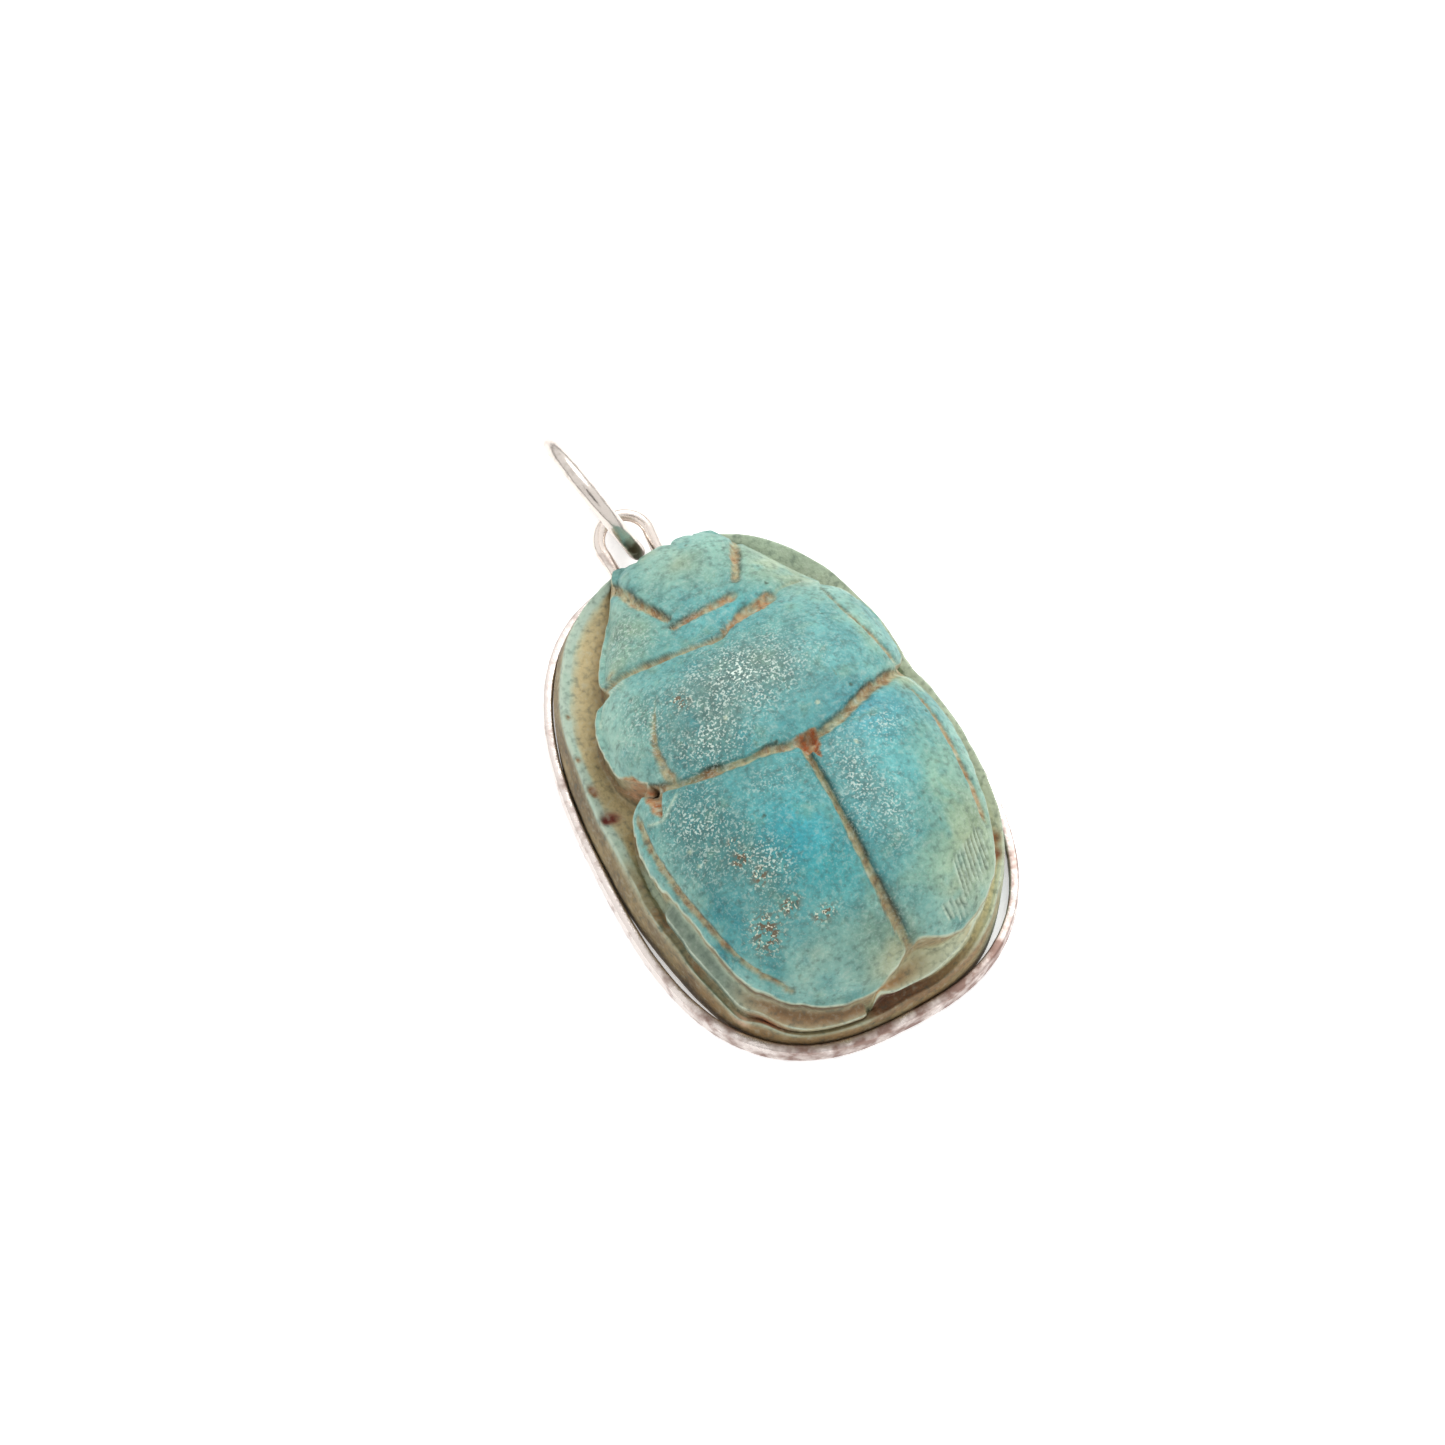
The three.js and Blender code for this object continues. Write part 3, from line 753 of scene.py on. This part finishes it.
def low_colour(p, degrees, level):
    """Colour below the back.

    level counts the stretches of the profile: the strip starts at 5, the channel at 6, the leg at 7
    and the wall at 10.
    """
    mottled = cloud(p, 1.4, 51)
    fine = cloud(p, 0.45, 56)
    blotched = cloud(p, 2.4, 141)
    # Stretches of the way round
    left = between(degrees, 95, 108, 250, 262)
    right = 1 - left
    front_left = between(degrees, 88, 100, 176, 192)
    front_right = between(degrees, 38, 50, 80, 92)
    tail = between(degrees, 205, 236, 286, 306)
    right_tail = right * between(degrees, 255, 262, 300, 330)
    left_hollow = bump(turn(degrees, LEFT_HOLLOW), 4)
    hollow = bump(turn(degrees, TAIL_HOLLOW), 7)
    slope = between(degrees, 258, 262, 278, 296)
    # Stretches of the way up
    underside = (level < 1.0).astype(float)
    side = smooth(3.95, 3.75, level)
    ledge = between(level, 3.75, 3.95, 6.9, 7.3)
    strip = ledge * smooth(6.35, 5.75, level + 0.35 * mottled)
    rear = ledge * left * (1 - front_left)
    leg = between(level, 6.9, 7.3, 9.6, 10.4)
    left_side = leg * left_leg(degrees)
    right_side = leg * right_leg(degrees)
    under_leg = smooth(7.9, 7.4, level)
    facet = bump(turn(degrees, 231), 2.2) * between(level, 3.0, 3.6, 6.0, 6.6)
    grey_strip = between(degrees, 208, 216, 228, 232) * bump(level - 4.9, 0.8)
    fan = bump(turn(degrees, MIDDLE_LEG), 5) * smooth(7.2, 8.2, level)
    wall = between(level, 10.0, 10.5, 12.1, 12.6) * (1 - fan)
    coats = [
        # Side of the base
        ((190, 190, 150), right * tail),
        ((150, 194, 178), side * right * clamp01(0.2 + 1.6 * blotched)),
        ((186, 162, 116), side * right * clamp01(-1.8 * blotched - 0.1)),
        ((168, 146, 104), side * left),
        (BROWN, side * left * clamp01(0.2 + 1.1 * mottled)),
        ((172, 138, 94), side * tail * clamp01(0.8 + 0.6 * mottled)),
        # Underside
        ((158, 182, 164), underside),
        ((186, 168, 130), underside * clamp01(0.15 + 1.3 * mottled)),
        # Ledge
        (OCHRE, ledge * front_left),
        ((190, 166, 116), ledge * front_left * clamp01(1.6 * fine) * smooth(6, 7, level)),
        ((186, 208, 178), ledge * front_right * clamp01(0.7 + 1.2 * mottled)),
        (PALE_LEDGE, strip * front_left),
        ((176, 204, 184), strip * front_left * clamp01(1.5 * fine)),
        ((182, 172, 134), rear),
        ((176, 132, 90), rear * clamp01(0.1 + 1.5 * mottled)),
        ((140, 142, 114), rear * clamp01(1.8 * fine - 0.2)),
        # Painted shade at the foot of the wall, along the front left of the channel
        ((150, 116, 76), 0.8 * front_left * between(level, 6.5, 7.6, 9.8, 10.6)),
        ((234, 226, 174), right_tail * between(level, 5.6, 6.3, 7.1, 7.4)),
        ((240, 246, 208), right_tail * bump(level - 5.0, 0.7) * smooth(276, 284, degrees)),
        # Hind legs
        (LEG_BLUE, left_side * smooth(240, 224, degrees)),
        (LEG_OCHRE, left_side * smooth(224, 240, degrees)),
        ((132, 100, 66), left_side * smooth(228, 240, degrees) * smooth(9.0, 10.2, level)),
        ((206, 206, 166), 0.7 * left_side * smooth(230, 250, degrees) * smooth(9.4, 8.6, level)),
        ((230, 238, 202), right_side),
        ((212, 194, 146), right_side * clamp01(0.1 + 1.3 * mottled)),
        ((186, 146, 98), right_side * smooth(280, 266, degrees) * smooth(8.6, 9.6, level)),
        # Hollows by the tail and the facets beside them
        (RED_BROWN, 0.95 * hollow * smooth(4.6, 5.8, level) * under_leg),
        (HOLLOW_BROWN, 0.95 * left_hollow * smooth(4.4, 5.6, level) * under_leg),
        ((164, 128, 90), 0.9 * slope * between(level, 3.2, 3.8, 6.6, 7.2)),
        (RED_BROWN, hollow * smooth(3.2, 5.2, level) * under_leg * clamp01(0.55 + mottled)),
        ((236, 196, 160), facet),
        ((134, 146, 120), 0.85 * grey_strip),
        # Middle leg and the wall under the back
        ((206, 156, 116), fan * clamp01(0.9 + 0.8 * fine)),
        ((168, 146, 106), wall * clamp01(0.8 + 0.6 * mottled)),
        # Painted shade on the wall under the back's rim, at the left of the tail
        ((106, 84, 58), 0.7 * wall * tail * left),
    ]
    for x, y, size, _, tint in LEDGE_SPOTS:
        gap = np.hypot(p[:, 0] - x, p[:, 1] - y) * (1 + 0.3 * fine)
        coats.append((tint, 1.2 * bump(gap, size) * on_ledge(level)))
    return painted(np.array(OLIVE_LEDGE, float), coats) * (1 + 0.1 * fine[:, None])


def light_arrises(degrees, level, mottled):
    """How pale the edges of the ledge, of the hind legs and of the back are: worn pale, with a painted
    highlight.
    """
    even = clamp01(0.7 + 0.9 * mottled)
    beside_tail = 1 - 0.8 * bump(turn(degrees, 275), 17)
    legs = np.maximum(left_leg(degrees), right_leg(degrees))
    return (
        0.85 * even * beside_tail * bump(level - LEDGE_ARRIS, 0.5),
        1.0625 * even * legs * bump(level - LEG_ARRIS, 0.55),
        0.8 * even * bump(level - BACK_ARRIS, 0.5),
    )


def border_line(p):
    """1 on the line that is incised round the underside."""
    degrees = np.degrees(np.arctan2(p[:, 1] - SIGHT[1], p[:, 0] - SIGHT[0])) % 360
    edge = worn(degrees, reach(degrees, inside_oval), BASE_WEAR)
    inwards = edge - np.hypot(p[:, 0] - SIGHT[0], p[:, 1] - SIGHT[1])
    return bump(inwards - BORDER_INSET, BORDER_WIDTH)


def under_relief(p):
    """The underside is flat, with one incised border line."""
    return -0.2 * border_line(p) - 0.02 * clamp01(cloud(p, 1.5, 95))


def stone_colour(p, degrees, level, marks):
    """Colour of the stone, how rough its surface is, and its small pits."""
    earth, red, brown_and_shade, shadow, pale_and_highlit_edges = marks
    mottled = cloud(p, 0.9, 61)
    fine = cloud(p, 0.3, 66)
    bluer = cloud(p, 0.8, 131)
    on_back = smooth(BACK - 0.5, BACK, level)
    pits = small_pits(p, 0.42, 71, 0.02) * on_back
    beads = small_pits(p, 0.7, 76, 0.02) * on_back
    colour = mix(low_colour(p, degrees, level), back_colour(p), on_back[:, None])
    colour = colour * (1 + on_back * (0.12 * mottled + 0.1 * fine))[:, None]
    colour = painted(colour, [
        ((74, 172, 184), 0.5 * on_back * clamp01(1.6 * bluer - 0.3)),
        ((150, 178, 146), 0.5 * on_back * clamp01(-1.6 * bluer - 0.3)),
        ((112, 132, 112), 0.7 * on_back * clamp01(2.6 * fine - 1.0)),
        # Worn pale arrises with a painted highlight along them
        *((WORN_ARRIS_AND_HIGHLIGHT, share) for share in light_arrises(degrees, level, mottled)),
        (SHADOW_TEAL, 0.62 * shadow * clamp01(0.9 + 0.7 * mottled)),
        (EARTH, earth * (0.9 + 0.3 * fine)),
        ((146, 120, 86), 0.85 * earth * clamp01(2.2 * fine + 0.15)),
        ((242, 236, 214), earth * clamp01(-2.4 * fine - 0.7)),
        (RED_EARTH, red * clamp01(0.6 + 0.8 * fine)),
        # Brown earth in the pits, and painted shade along the grooves and the file marks
        (DARK_EARTH_AND_SHADE, 0.8 * brown_and_shade * on_back),
        # Worn pale edges and the lips of the file marks, with a painted highlight
        (WORN_ARRIS_AND_HIGHLIGHT, pale_and_highlit_edges),
        ((72, 82, 68), 0.75 * smooth(0.3, 0.8, pits)),
        ((224, 226, 196), 0.8 * smooth(0.6, 0.8, beads)),
    ])
    under = level < 1.0
    colour[under] = blend(colour[under], (112, 92, 64), 0.85 * border_line(p[under]))
    rough = 0.6 - 0.1 * on_back + 0.3 * clamp01(earth + brown_and_shade)
    light_share = mix(LOW_LIGHT, BACK_LIGHT, on_back[:, None])
    return linear(np.clip(colour, 0, 255)) * light_share, rough, pits


def sandiness(p, level):
    """How thickly grains of sand stand in the glaze."""
    sand = np.full(len(p), 0.12)
    for x, y, across, along, strength in SANDY:
        sand = np.maximum(sand, strength * patch_share(p, x, y, across, along))
    return sand * on_glaze(level) * clamp01(0.75 + 0.8 * cloud(p, 1.1, 81))


def pitting(p, level):
    """1 where the glaze is pitted and brown."""
    pitted = sum(patch_share(p, x, y, across, along) for x, y, across, along in PITTED)
    return clamp01(1.4 * pitted + 0.5 * cloud(p, 0.6, 86) * pitted) * on_glaze(level)


# Materials
def set_inputs(node, values):
    for key, value in values.items():
        node.inputs[key].default_value = value


def add_node(tree, kind, values=(), **settings):
    made = tree.nodes.new(kind)
    for key, value in settings.items():
        setattr(made, key, value)
    set_inputs(made, dict(values))
    return made


def new_material(name):
    material = bpy.data.materials.new(name)
    material.use_nodes = True
    tree = material.node_tree
    return material, tree, tree.nodes["Principled BSDF"]


def mixed(tree, a, b, factor):
    """Colour between two colours or sockets."""
    made = add_node(tree, "ShaderNodeMix", data_type="RGBA")
    for socket, value in ((made.inputs[6], a), (made.inputs[7], b)):
        if isinstance(value, tuple):
            socket.default_value = (*value, 1)
        else:
            tree.links.new(value, socket)
    tree.links.new(factor, made.inputs[0])
    return made.outputs[2]


def attribute(tree, name, output="Fac"):
    return add_node(tree, "ShaderNodeAttribute", attribute_name=name).outputs[output]


def ramp(tree, value, low, high):
    """0 below low, 1 above high."""
    made = add_node(tree, "ShaderNodeMapRange", {"From Min": low, "From Max": high}, clamp=True)
    tree.links.new(value, made.inputs["Value"])
    return made.outputs["Result"]


def product(tree, a, b):
    made = add_node(tree, "ShaderNodeMath", operation="MULTIPLY")
    tree.links.new(a, made.inputs[0])
    if isinstance(b, float):
        made.inputs[1].default_value = b
    else:
        tree.links.new(b, made.inputs[1])
    return made.outputs[0]


def grains(tree, where, size, detail=2.0):
    """Noise with lumps of about size millimetres."""
    made = add_node(tree, "ShaderNodeTexNoise", {"Scale": 1 / (size * MM), "Detail": detail})
    tree.links.new(where, made.inputs["Vector"])
    return made.outputs["Fac"]


def emboss(tree, shader, height, strength, distance):
    """Makes the surface look as uneven as height."""
    made = add_node(tree, "ShaderNodeBump", {"Strength": strength, "Distance": distance})
    tree.links.new(height, made.inputs["Height"])
    tree.links.new(made.outputs["Normal"], shader.inputs["Normal"])


def stone_material():
    material, tree, shader = new_material("glazed_stone")
    where = add_node(tree, "ShaderNodeTexCoord").outputs["Object"]
    colour = attribute(tree, "paint", "Color")
    sand = attribute(tree, "sand")
    rough = attribute(tree, "rough")
    pitted = attribute(tree, "pitted")
    fine = grains(tree, where, 0.2)
    speck = grains(tree, where, 0.12, 1.0)
    everywhere = grains(tree, where, 0.3, 4.0)
    hole = grains(tree, where, 0.26, 3.0)
    sandy_fine = product(tree, ramp(tree, fine, 0.44, 0.56), sand)
    sandy_speck = product(tree, ramp(tree, speck, 0.54, 0.62), sand)
    coats = [
        ((0.07, 0.13, 0.12), product(tree, sandy_fine, 0.85)),
        ((0.66, 0.76, 0.68), product(tree, sandy_speck, 0.95)),
        ((0.05, 0.08, 0.07), product(tree, ramp(tree, everywhere, 0.5, 0.76), 0.6)),
        ((0.46, 0.52, 0.44), product(tree, ramp(tree, everywhere, 0.45, 0.28), 0.22)),
        ((0.13, 0.1, 0.065), product(tree, ramp(tree, hole, 0.49, 0.56), pitted)),
        ((0.62, 0.64, 0.5), product(tree, ramp(tree, speck, 0.6, 0.66), pitted)),
    ]
    for tint, amount in coats:
        colour = mixed(tree, colour, tint, amount)
    tree.links.new(colour, shader.inputs["Base Color"])
    tree.links.new(rough, shader.inputs["Roughness"])
    set_inputs(shader, {"Specular IOR Level": 0.22})
    emboss(tree, shader, fine, 0.6, 0.08 * MM)
    return material


def silver_material(name, bright, tarnish_and_reflection, from_share, to_share, roughness):
    material, tree, shader = new_material(name)
    where = add_node(tree, "ShaderNodeTexCoord").outputs["Object"]
    spread = add_node(tree, "ShaderNodeMath", operation="ADD")
    tree.links.new(grains(tree, where, 0.7, 6.0), spread.inputs[0])
    tree.links.new(attribute(tree, "tarnish_and_reflection"), spread.inputs[1])
    share = ramp(tree, spread.outputs[0], from_share, to_share)
    tree.links.new(mixed(tree, bright, tarnish_and_reflection, share), shader.inputs["Base Color"])
    set_inputs(shader, {"Metallic": 1.0})
    rough = add_node(tree, "ShaderNodeMapRange", {"To Min": roughness[0], "To Max": roughness[1]})
    tree.links.new(share, rough.inputs["Value"])
    tree.links.new(rough.outputs["Result"], shader.inputs["Roughness"])
    emboss(tree, shader, grains(tree, where, 0.22, 3.0), 0.35, 0.03 * MM)
    return material


def add_object(name, data):
    made = bpy.data.objects.new(name, data)
    bpy.context.scene.collection.objects.link(made)
    return made


def mesh_piece(name, node, points, faces, material, attributes):
    """A piece of the scene that stands for a node of the frame."""
    mesh = bpy.data.meshes.new(name)
    mesh.from_pydata((points * MM).tolist(), [], faces.tolist())
    for key, values in attributes.items():
        if values.ndim == 2:
            made = mesh.color_attributes.new(key, "FLOAT_COLOR", "POINT")
            rgba = np.hstack([values, np.ones((len(values), 1))])
            made.data.foreach_set("color", rgba.astype(np.float32).ravel())
        else:
            made = mesh.attributes.new(key, "FLOAT", "POINT")
            made.data.foreach_set("value", values.astype(np.float32))
    mesh.shade_smooth()
    mesh.materials.append(material)
    piece = add_object(name, mesh)
    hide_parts(node)
    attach(piece, "root")
    return piece


def grid_faces(rows, columns, closed_rows=False):
    """Quads over rings of points; each ring is closed."""
    k = np.arange(rows if closed_rows else rows - 1)[:, None]
    i = np.arange(columns)[None, :]
    up = (k + 1) % rows
    right = (i + 1) % columns
    corners = [k * columns + i, k * columns + right, up * columns + right, up * columns + i]
    return np.stack([np.broadcast_to(c, (len(k), columns)).ravel() for c in corners], axis=1)


def make_stone():
    degrees = np.arange(AROUND) * 360 / AROUND
    rings, level = stone_rings(degrees)
    normals = ring_normals(rings).reshape(-1, 3)
    p = rings.reshape(-1, 3)
    levels = np.repeat(level, AROUND)
    angles = np.tile(degrees, len(level))
    relief = 0.05 * cloud(p, 2.6, 1) + 0.025 * cloud(p, 0.8, 6)
    marks = [np.zeros(len(p)) for _ in range(5)]
    back = levels > BACK - 1.5
    cut, *found = carving(p[back])
    share = smooth(BACK - 1.5, BACK - 0.4, levels[back])
    relief[back] += cut * share
    for mark, values in zip(marks, found):
        mark[back] = values * share
    paint, rough, pits = stone_colour(p, angles, levels, marks)
    relief -= 0.05 * pits
    relief *= smooth(1.0, 2.0, levels)
    relief[levels < 1] = under_relief(p[levels < 1])
    for x, y, size, depth, _ in LEDGE_SPOTS:
        relief -= depth * bump(np.hypot(p[:, 0] - x, p[:, 1] - y), size) * on_ledge(levels)
    sand = sandiness(p, levels)
    pitted = pitting(p, levels)
    relief -= 0.05 * pitted * clamp01(noise(p, 0.3, 97))
    relief += 0.02 * sand * noise(p, 0.24, 91)
    placed = filled(p, "scarab") + normals * relief[:, None]
    faces = grid_faces(len(level), AROUND)
    attributes = {"paint": paint, "rough": rough, "sand": sand, "pitted": pitted}
    material = stone_material()
    piece = mesh_piece("scarab_stone", "scarab", placed, faces, material, attributes)
    close_ends(piece, AROUND)


def close_ends(piece, columns):
    """Closes the first and the last ring of points."""
    work = bmesh.new()
    work.from_mesh(piece.data)
    work.verts.ensure_lookup_table()
    work.faces.new(work.verts[:columns][::-1]).smooth = True
    work.faces.new(work.verts[-columns:]).smooth = True
    work.to_mesh(piece.data)
    work.free()


SILVER = (0.72, 0.65, 0.61)
SILVER_TARNISH = (0.3, 0.2, 0.17)
RING_SILVER = (0.64, 0.58, 0.53)
RING_TARNISH_AND_REFLECTION = (0.13, 0.1, 0.07)
EYELET_SILVER = (0.76, 0.68, 0.62)


def band_point(t, outwards):
    half = np.array([WIDTH / 2 + FIT_GAP, LENGTH / 2 + FIT_GAP])
    power = 2 / ROUNDNESS

    def outline(s):
        y = np.sign(np.sin(s)) * np.abs(np.sin(s)) ** power
        x = np.sign(np.cos(s)) * np.abs(np.cos(s)) ** power
        return np.stack([x * half[0] * (1 - NARROWING * y), y * half[1]], axis=-1)

    nudge = 0.01
    tangent = outline(t + nudge) - outline(t - nudge)
    tangent /= np.linalg.norm(tangent, axis=-1, keepdims=True)
    return outline(t) + np.stack([tangent[..., 1], -tangent[..., 0]], axis=-1) * outwards[..., None]


def make_band():
    count = 480
    sides = 28
    t = 2 * np.pi * (np.arange(count) + 0.5) / count
    a = 2 * np.pi * (np.arange(sides) + 0.5) / sides
    square = 0.32
    out = BAND_WALL / 2 * (1 + np.sign(np.cos(a)) * np.abs(np.cos(a)) ** square)
    z = BAND_HEIGHT / 2 * (1 - np.sign(np.sin(a)) * np.abs(np.sin(a)) ** square)
    xy = band_point(np.repeat(t[:, None], sides, axis=1), np.tile(out, (count, 1)))
    rings = np.concatenate([xy, np.broadcast_to(z[None, :, None], (count, sides, 1))], axis=2)
    rings = filled(rings, "bezel")
    p = rings.reshape(-1, 3)
    normals = ring_normals(rings).reshape(-1, 3)
    dents = -0.035 * clamp01(cloud(p, 1.6, 101)) - 0.02 * clamp01(cloud(p, 0.5, 105))
    p = p + normals * dents[:, None]
    degrees = np.degrees(np.arctan2(p[:, 1], p[:, 0])) % 360
    # Browner round the tail's side, most at 288 degrees
    tarnish_and_reflection = 0.22 * bump(turn(degrees, 288), 30) + 0.12 * bump(turn(degrees, 245), 25)
    material = silver_material("silver_band", SILVER, SILVER_TARNISH, 0.52, 0.8, (0.24, 0.5))
    faces = grid_faces(count, sides, True)
    mesh_piece("silver_band", "bezel", p, faces, material, {"tarnish_and_reflection": tarnish_and_reflection})


def tube(path, radius, sides, closed):
    """Rings of points round a path."""
    if closed:
        tangent = np.roll(path, -1, axis=0) - np.roll(path, 1, axis=0)
    else:
        tangent = np.gradient(path, axis=0)
    tangent /= np.linalg.norm(tangent, axis=1, keepdims=True)
    flat = np.cross(path[len(path) // 3] - path[0], path[2 * len(path) // 3] - path[0])
    flat /= np.linalg.norm(flat)
    side = np.cross(flat, tangent)
    a = 2 * np.pi * np.arange(sides) / sides
    around = np.cos(a)[None, :, None] * side[:, None] + np.sin(a)[None, :, None] * flat
    return path[:, None] + around * radius


def make_ring():
    count = 260
    sides = 28
    radius = (RING_OUTER - RING_WIRE) / 2
    side = Vector((-np.sin(np.radians(RING_TURN)), np.cos(np.radians(RING_TURN)), 0))
    up = Matrix.Rotation(-np.radians(RING_LEAN), 3, side) @ Vector((0, 0, 1))
    low, high = (np.array(c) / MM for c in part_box("jump_ring"))
    t = 2 * np.pi * np.arange(count)[:, None] / count
    middle = (low + high) / 2
    path = middle + radius * (np.cos(t) * np.array(side) + np.sin(t) * np.array(up))
    rings = tube(path, RING_WIRE / 2, sides, True)
    p = filled(rings, "jump_ring").reshape(-1, 3)
    normals = ring_normals(rings)
    worn_wire = 0.02 * clamp01(cloud(p, 0.9, 111))
    p = p - normals.reshape(-1, 3) * worn_wire[:, None]
    outer_face = np.einsum("ksi,ki->ks", normals, (path - middle) / radius).ravel()
    # Darker towards the bottom all round; the dark stripe along the outer face of the lower part is a
    # painted reflection
    tarnish_and_reflection = 0.1 * smooth(6.5, 2.5, p[:, 2])
    tarnish_and_reflection = tarnish_and_reflection + 0.5 * smooth(0.62, 0.85, outer_face) * smooth(5.6, 4.4, p[:, 2])
    material = silver_material("silver_ring", RING_SILVER, RING_TARNISH_AND_REFLECTION, 0.56, 0.95, (0.24, 0.42))
    faces = grid_faces(count, sides, True)
    mesh_piece("loose_ring", "jump_ring", p, faces, material, {"tarnish_and_reflection": tarnish_and_reflection})


def make_eyelet():
    radius = (EYELET_INNER + EYELET_WIRE) / 2
    bow = radius + EYELET_STAND_OFF
    leg = radius - 0.12
    foot = SOLDER_GAP + EYELET_WIRE / 2 * np.tan(np.radians(EYELET_TILT))
    plan = [(-leg, foot), (-leg - 0.03, bow * 0.45)]
    for degrees in np.arange(195, -16, -21):
        a = np.radians(degrees)
        plan.append((radius * np.cos(a), bow + radius * np.sin(a)))
    plan += [(leg + 0.03, bow * 0.45), (leg, foot)]
    flat = curve(plan, 0.06)
    tilt = np.radians(EYELET_TILT)
    path = np.stack([flat[:, 0], flat[:, 1] * np.cos(tilt), flat[:, 1] * np.sin(tilt)], axis=1)
    run = np.linspace(0, 1, len(path))
    sides = 24
    rings = tube(path, EYELET_WIRE / 2, sides, False)
    p = filled(rings, "eyelet").reshape(-1, 3)
    p = p - ring_normals(rings).reshape(-1, 3) * (0.02 * clamp01(cloud(p, 0.7, 121)))[:, None]
    tarnish_and_reflection = np.repeat(0.2 * bump(np.minimum(run, 1 - run), 0.06), sides)
    material = silver_material("silver_eyelet", EYELET_SILVER, SILVER_TARNISH, 0.54, 0.95, (0.25, 0.45))
    faces = grid_faces(len(path), sides)
    piece = mesh_piece("eyelet_wire", "eyelet", p, faces, material, {"tarnish_and_reflection": tarnish_and_reflection})
    close_ends(piece, sides)


def plain_mesh(name, points, faces, material):
    mesh = bpy.data.meshes.new(name)
    mesh.from_pydata(points, [], faces)
    mesh.materials.append(material)
    return mesh


def make_floor():
    half = 1500 * MM
    low = -0.02 * MM
    corners = [(-half, -half, low), (half, -half, low), (half, half, low), (-half, half, low)]
    material, _, shader = new_material("floor")
    set_inputs(shader, {
        "Base Color": (0.93, 0.93, 0.93, 1),
        "Emission Color": (1, 1, 1, 1),
        "Emission Strength": 0.42,
        "Roughness": 0.9,
        "Specular IOR Level": 0.0,
    })
    add_object("floor", plain_mesh("floor", corners, [(0, 1, 2, 3)], material))


def aimed(name, data, place, target):
    made = add_object(name, data)
    made.location = place
    made.rotation_euler = (Vector(target) - Vector(place)).to_track_quat("-Z", "Y").to_euler()
    return made


def circle(radius, count, height):
    turns = 2 * np.pi * np.arange(count) / count
    return [(radius * np.cos(t), radius * np.sin(t), height) for t in turns]


# The photograph's view: from the tail's side, so far to the left and so far up, in degrees
VIEW_TURN = -29
VIEW_UP = 66


def view_back():
    """Direction from the object to the photograph's camera."""
    azimuth = np.radians(VIEW_TURN)
    elevation = np.radians(VIEW_UP)
    flat = np.cos(elevation)
    return Vector((np.sin(azimuth) * flat, -np.cos(azimuth) * flat, np.sin(elevation)))


def make_light():
    world = bpy.data.worlds.new("studio")
    world.use_nodes = True
    background = world.node_tree.nodes["Background"]
    set_inputs(background, {"Color": (1, 1, 1, 1), "Strength": 1.12})
    bpy.context.scene.world = world
    key = bpy.data.lights.new("soft_key", "AREA")
    key.shape = "DISK"
    key.size = 0.3
    key.energy = 1.5
    aimed("soft_key", key, (0.26, 0.24, 0.38), (0, 0, 0.004))


def make_dark_room():
    """A dark disc behind the camera and a low dark wall far off, for the silver to reflect."""
    material, _, shader = new_material("lens_hood")
    set_inputs(shader, {"Base Color": (0.03, 0.025, 0.02, 1), "Roughness": 0.9})
    disc = circle(100 * MM, 24, 0)
    shade = plain_mesh("lens_hood", disc, [tuple(range(len(disc)))], material)
    distance = 420 * MM
    aimed("lens_hood", shade, view_back() * distance, (0, 0, 0))
    sides = 48
    points = circle(600 * MM, sides, 0.0) + circle(600 * MM, sides, 100 * MM)
    faces = [(i, (i + 1) % sides, sides + (i + 1) % sides, sides + i) for i in range(sides)]
    add_object("dark_wall", plain_mesh("dark_wall", points, faces, material))


def make_camera():
    """Far off, so that little perspective shows."""
    distance = 300 * MM
    target = Vector((-0.338, 4.339, 1.1)) * MM
    data = bpy.data.cameras.new("camera")
    data.sensor_width = 36
    data.lens = 153.2
    data.clip_start = 0.01
    bpy.context.scene.camera = aimed("camera", data, target + view_back() * distance, target)


make_stone()
make_band()
make_eyelet()
make_ring()
make_floor()
make_light()
make_dark_room()
make_camera()
bpy.context.scene.view_settings.view_transform = "Standard"
